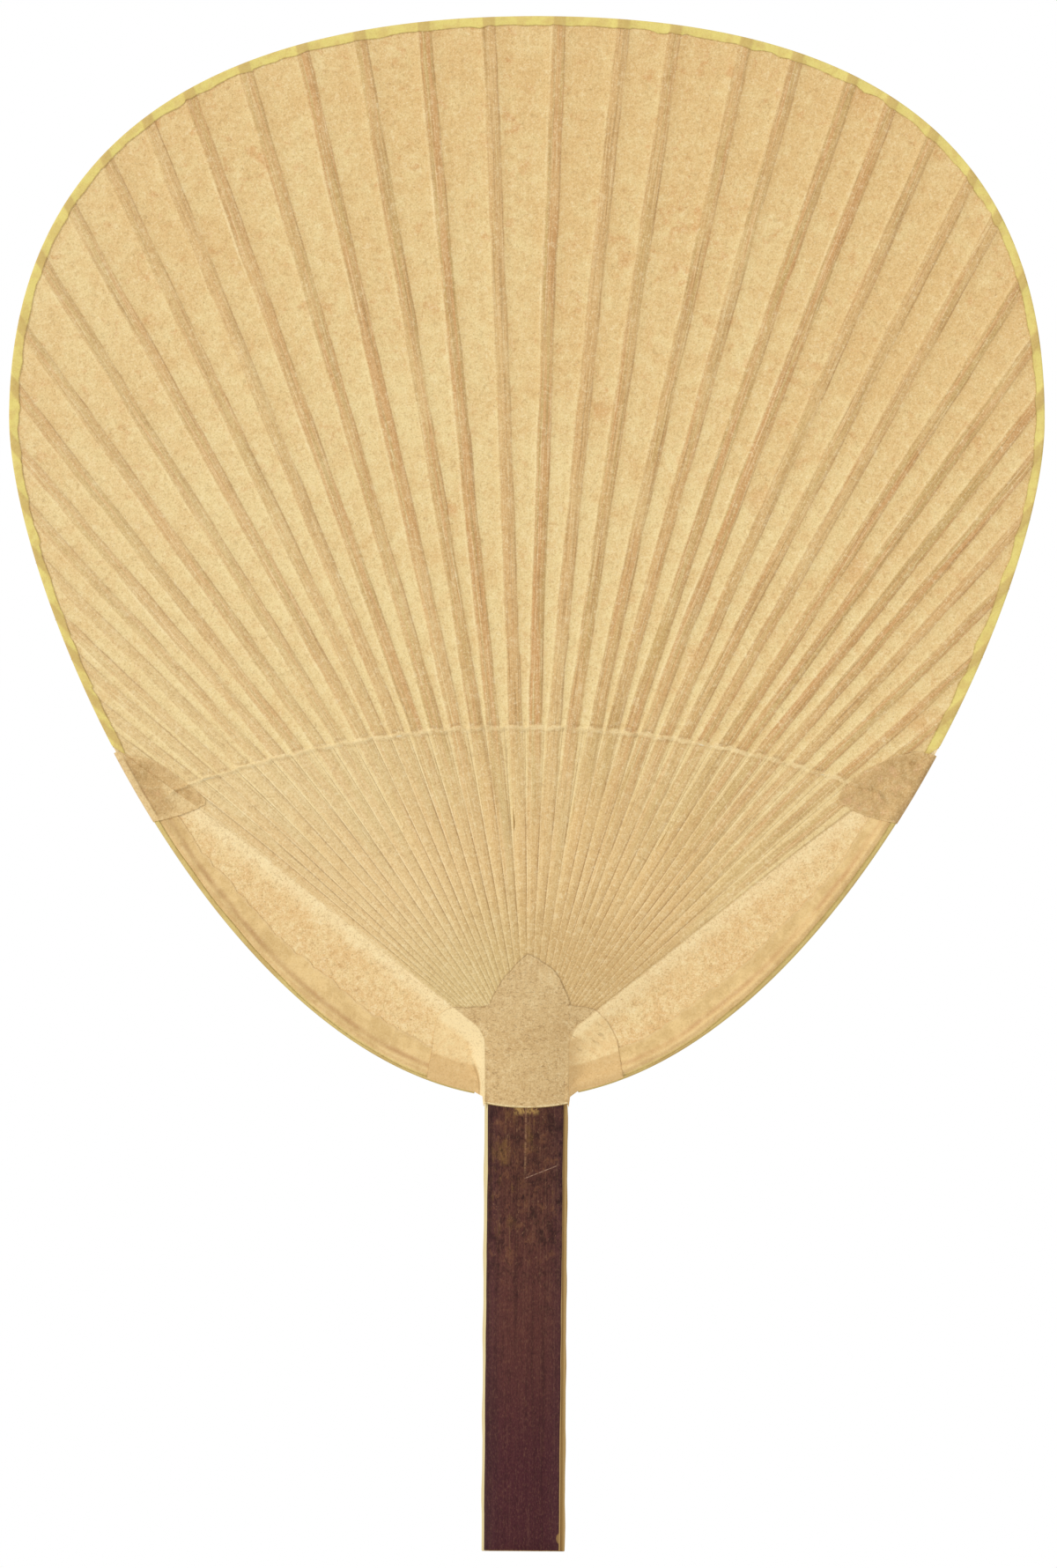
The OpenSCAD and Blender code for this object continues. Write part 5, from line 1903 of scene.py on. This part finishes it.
    def build(self) -> None:
        """Makes both patches."""
        paper = self.finish.make()
        for face in Face:
            (left, left_lift), (right, right_lift) = (self.lobe(hand, face) for hand in Hand)
            middle, lift = self.middle(face)
            grid = side_by_side(left, middle, right)
            points = spread(grid, face, np.concatenate([left_lift, lift, right_lift], 1))
            height = grid.line[..., 1]
            edge = np.minimum(height[-1] - height, height - height[0] + 0.3)
            x, z = points[..., 0], points[..., 2]
            wrinkle = 0.1 * np.sin(x * 0.9 + z * 1.7) * bump(x - 9.5, 4) * bump(z - 130, 7)
            points[..., 1] += face.value * wrinkle * (edge > 0.5)
            notes = {"rib_line": grid.line, "rib_zone": grid.zone, "cut_edge": edge}
            word = face.name.lower()
            sheet = lay_sheet(f"neck_cover_{word}", points, self.plan.strip_t, notes)
            dress(sheet, paper, "patch", f"neck_patch_{word}")


@dataclass
class Slip:
    """The slip of bamboo: the grip with its shaved edges, and the ribs split out of its end.

    Fields:
        plan: The leaf.
        shaved: Width of the shaved edges.
        shave_t: Depth that is shaved off at the very edge.
        bore: Radius of the hole for the bow.
        worn_edge: Size of the worn edges.
        hole_rise: Height of the hole above the bow's place in the leaf's heel.
        rib_cuts: Cuts across a rib's length.
        rib_short: How far inside the rim the ribs end.
        root_marks: Distances from the fan point of a rib's first points.
        finish: Its finish.
    """

    plan: LeafPlan
    shaved: float = 1.1
    shave_t: float = 1.2
    bore: float = 1.6
    worn_edge: float = 0.3
    hole_rise: float = 0.25
    rib_cuts: int = 14
    rib_short: float = 1.6
    root_marks: tuple = (-5, -3, -1, 1, 3, 5, 12, 24)
    finish: GripSkin = field(default_factory=GripSkin)

    def grip(self) -> bpy.types.Object:
        """Makes the grip."""
        p = self.plan
        half, top = p.grip_w / 2, p.fan_z + p.root_r
        grip = start(bpy.ops.mesh.primitive_cube_add, "bamboo_slip_body", size=1)
        for axis, cuts in ((0, 15), (2, 39)):
            score(grip, axis, cuts)
        flat = np.array([0.0, half - self.shaved, half])
        for v in grip.data.vertices:
            k = abs(v.co.x) * 16
            x = math.copysign(np.interp(k, (0, 7, 8), flat), v.co.x) if k > 0.01 else 0.0
            z = (v.co.z + 0.5) * top
            if v.co.y < 0:
                y = -p.grip_t / 2 + float(p.sag(min(abs(x), half - self.shaved)))
                shave = self.shave_t * max(0.0, abs(x) - half + self.shaved) / self.shaved
                y += shave if z < p.fan_z + p.foot_r else 0.1 * shave
            else:
                scoop = p.fan_z + p.scoop_r
                y = p.grip_t / 2 - (p.grip_t - p.rib_root) * max(0.0, z - scoop) / (top - scoop)
            worn = 0.13 * math.sin(z * 0.16 + x) + 0.06 * math.sin(z * 0.47 + 2 * x)
            x += math.copysign(worn, x) if abs(x) > half - 0.01 and z < p.fan_z + p.foot_r - 2 else 0.0
            v.co = Vector((x, y, z)) * MM
        worn = {"width": self.worn_edge * MM, "segments": 3}
        refine(grip, "BEVEL", limit_method="ANGLE", angle_limit=math.radians(50), **worn)
        hole_z = p.heel_z + p.wrap_in + p.bow_in + self.hole_rise
        place = {"location": (0, 0, hole_z * MM), "rotation": (0, math.pi / 2, 0)}
        size = {"radius": self.bore * MM, "depth": (p.grip_w + 4) * MM}
        drill = start(bpy.ops.mesh.primitive_cylinder_add, "drill", vertices=32, **size, **place)
        refine(grip, "BOOLEAN", operation="DIFFERENCE", object=drill, solver="EXACT")
        bpy.data.objects.remove(drill)
        return grip

    def rib_blank(self) -> bpy.types.Object:
        """Makes one straight strip that every rib is bent from."""
        blank = start(bpy.ops.mesh.primitive_cube_add, "rib_blank", size=1)
        score(blank, 2, self.rib_cuts)
        return blank

    def bend_rib(self, blank: bpy.types.Object, i: int) -> bpy.types.Object:
        """Copies the blank and lays it along one rib's line."""
        p = self.plan
        rib = blank.copy()
        rib.data = blank.data.copy()
        rib.name = f"rib_{i:02d}"
        bpy.context.scene.collection.objects.link(rib)
        u = i / p.steps - 1
        weave = float(p.thread_at(p.turn(u)))
        rim = float(p.rim_at(u)) - self.rib_short
        below, above = np.linspace(self.root_marks[-1], weave, 5)[1:], np.linspace(weave, rim, 5)[1:]
        marks = np.concatenate([self.root_marks, below, above])
        for v in rib.data.vertices:
            r = float(marks[round((v.co.z + 0.5) * (self.rib_cuts + 1))])
            at, ahead = p.fan_point(u, r), p.fan_point(u, r + 0.2) - p.fan_point(u, r - 0.2)
            ahead = ahead / np.linalg.norm(ahead)
            across = np.array([ahead[1], 0, -ahead[0]])
            s = float(p.rib_flat(u, r))
            c = math.sqrt(1 - s * s)
            x = u * p.root_half
            mid = ((p.rib_root + float(p.sag(x))) / 2 - p.grip_t / 2) * (1 - float(ease(r / 50)))
            wide = float(p.rib_wide(u, r)) * (s * across + np.array([0, c, 0]))
            thin = min(p.rib_t, float(p.pitch(u, r)) - 0.04) * (c * across - np.array([0, s, 0]))
            point = np.array([at[0], mid, at[1]]) + wide * v.co.x + thin * -v.co.y
            v.co = Vector(point * MM)
        return rib

    def build(self) -> None:
        """Makes the slip and joins its ribs to the grip."""
        grip = self.grip()
        blank = self.rib_blank()
        ribs = [self.bend_rib(blank, i) for i in range(self.plan.ribs)]
        bpy.data.objects.remove(blank)
        only(grip)
        for rib in ribs:
            rib.select_set(True)
        bpy.ops.object.join()
        bpy.ops.object.shade_smooth_by_angle(angle=math.radians(28))
        dress(grip, self.finish.make(), "bamboo", "bamboo_slip")


@dataclass
class BowAndThread:
    """The bow inside the hems, and the thread woven over and under the ribs."""

    plan: LeafPlan
    thick: float = 0.5

    def at(self, turn: float, y: float) -> list:
        """Point of the thread at an angle from the upright and at a depth."""
        r = float(self.plan.thread_at(turn))
        return [r * math.sin(math.radians(turn)), y, self.plan.fan_z + r * math.cos(math.radians(turn))]

    def thread_path(self) -> Numbers:
        """Middle line of the thread."""
        p = self.plan
        weave_y = (p.rib_t + self.thick) / 2 + 0.04
        points = []
        for i in range(p.ribs):
            u = i / p.steps - 1
            a = float(p.turn(u))
            r = float(p.thread_at(a))
            half = math.degrees((float(p.rib_wide(u, r)) + self.thick) / 2 / r)
            points += [self.at(b, -weave_y if i % 2 == 0 else weave_y) for b in (a - half, a + half)]
        for hand, first in ((Hand.RIGHT, False), (Hand.LEFT, True)):
            for past, y in ((0.0, -0.2), (3.5, 0.0)):
                end = [self.at(float(p.turn(hand.value * p.rim_u)) + hand.value * past, y)]
                points = end + points if first else points + end
        return np.array(points)

    def build(self) -> None:
        """Makes the thread and gives the bow its finish."""
        thread = lay_rod("weaving_thread", self.thread_path(), self.thick, 8)
        cotton = Strand("thread_cotton", shade(240, 228, 196), shade(214, 198, 160), 0.3)
        dress(thread, cotton.make(), "thread", "thread")
        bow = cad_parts["bow"]
        bamboo = Strand("bow_bamboo", shade(214, 184, 128), shade(176, 142, 88), 0.08)
        bow.data.materials.clear()
        bow.data.materials.append(bamboo.make())
        log.info("bow: the frame's own piece, dressed")


@dataclass
class Stage:
    """Floor, light and camera; the camera is square to the leaf and rolled as the photograph is.

    Fields:
        tall: Height of the view in metres.
        middle: Middle of the view, across and up.
        roll: Roll of the camera in degrees.
        surround: Strength of the light from all round.
        lamps: Name, strength, size in degrees, place and aim of each lamp.
    """

    tall: float = 0.38807
    middle: tuple = (0.000026, 0.189895)
    roll: float = 0.4
    surround: float = 0.63
    lamps: tuple = (
        ("key", 1.35, 12, (-1.1, -0.75, 0.75), (0, 0, 0.22)),
        ("fill", 0.3, 40, (0.9, -1.2, 0.5), (0, 0, 0.2)),
        ("back", 0.8, 30, (0.6, 1.4, 0.9), (0, 0, 0.2)),
    )

    def floor(self) -> None:
        """Makes the pale floor."""
        floor = start(bpy.ops.mesh.primitive_plane_add, "floor", size=6, location=(0, 0, -0.0002))
        b = Bench("floor_paint")
        speckle = b.cloud(b.place(), 20, 2, 0.5)
        colour = b.blend(shade(240, 239, 236), shade(236, 235, 232), speckle)
        floor.data.materials.append(b.finish(colour, 0.7, speckle, 0.0002, 0.1))

    def light(self) -> None:
        """Hangs the soft key on the left, a fill on the right, and makes the white surround."""
        for name, energy, size, at, aim in self.lamps:
            lamp = start(bpy.ops.object.light_add, name, type="SUN", location=at)
            lamp.data.energy = energy
            lamp.data.angle = math.radians(size)
            lamp.rotation_euler = (Vector(aim) - Vector(at)).to_track_quat("-Z", "Y").to_euler()
        world = bpy.data.worlds.new("studio")
        bpy.context.scene.world = world
        world.use_nodes = True
        tree = world.node_tree
        white = (1.0, 1.0, 1.0, 1.0)
        soft = tree.nodes["Background"]
        feed(tree, soft.inputs["Color"], white)
        feed(tree, soft.inputs["Strength"], self.surround)
        bright = add_node(tree, "ShaderNodeBackground", {}, {"Color": white, "Strength": 1.0})
        rays = ("Is Camera Ray", "Is Glossy Ray", "Is Transmission Ray")
        seen, glossy, through = add_node(tree, "ShaderNodeLightPath", {}, {}, rays)
        ways = {0: seen.top(glossy).top(through), 1: Signal(tree, soft.outputs[0]), 2: bright}
        choice = add_node(tree, "ShaderNodeMixShader", {}, ways)
        feed(tree, tree.nodes["World Output"].inputs["Surface"], choice)

    def camera(self) -> None:
        """Sets up the camera."""
        x, z = self.middle
        rotation = (math.pi / 2, -math.radians(self.roll), 0)
        bpy.ops.object.camera_add(location=(x, -1.2, z), rotation=rotation)
        camera = bpy.context.object
        camera.data.type = "ORTHO"
        camera.data.ortho_scale = self.tall
        camera.data.clip_end = 20
        bpy.context.scene.camera = camera

    def build(self) -> None:
        """Sets the stage."""
        self.floor()
        self.light()
        self.camera()
        bpy.context.scene.view_settings.view_transform = "Standard"


def main() -> None:
    """Builds the fan and its stage."""
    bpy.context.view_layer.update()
    Stage().build()
    for part in (Slip, BowAndThread, Papers, RimBinding, LowerEdge, Ears, NeckPatches):
        log.info("building %s", part.__name__)
        part(PLAN).build()


if __name__ == "__main__":
    main()
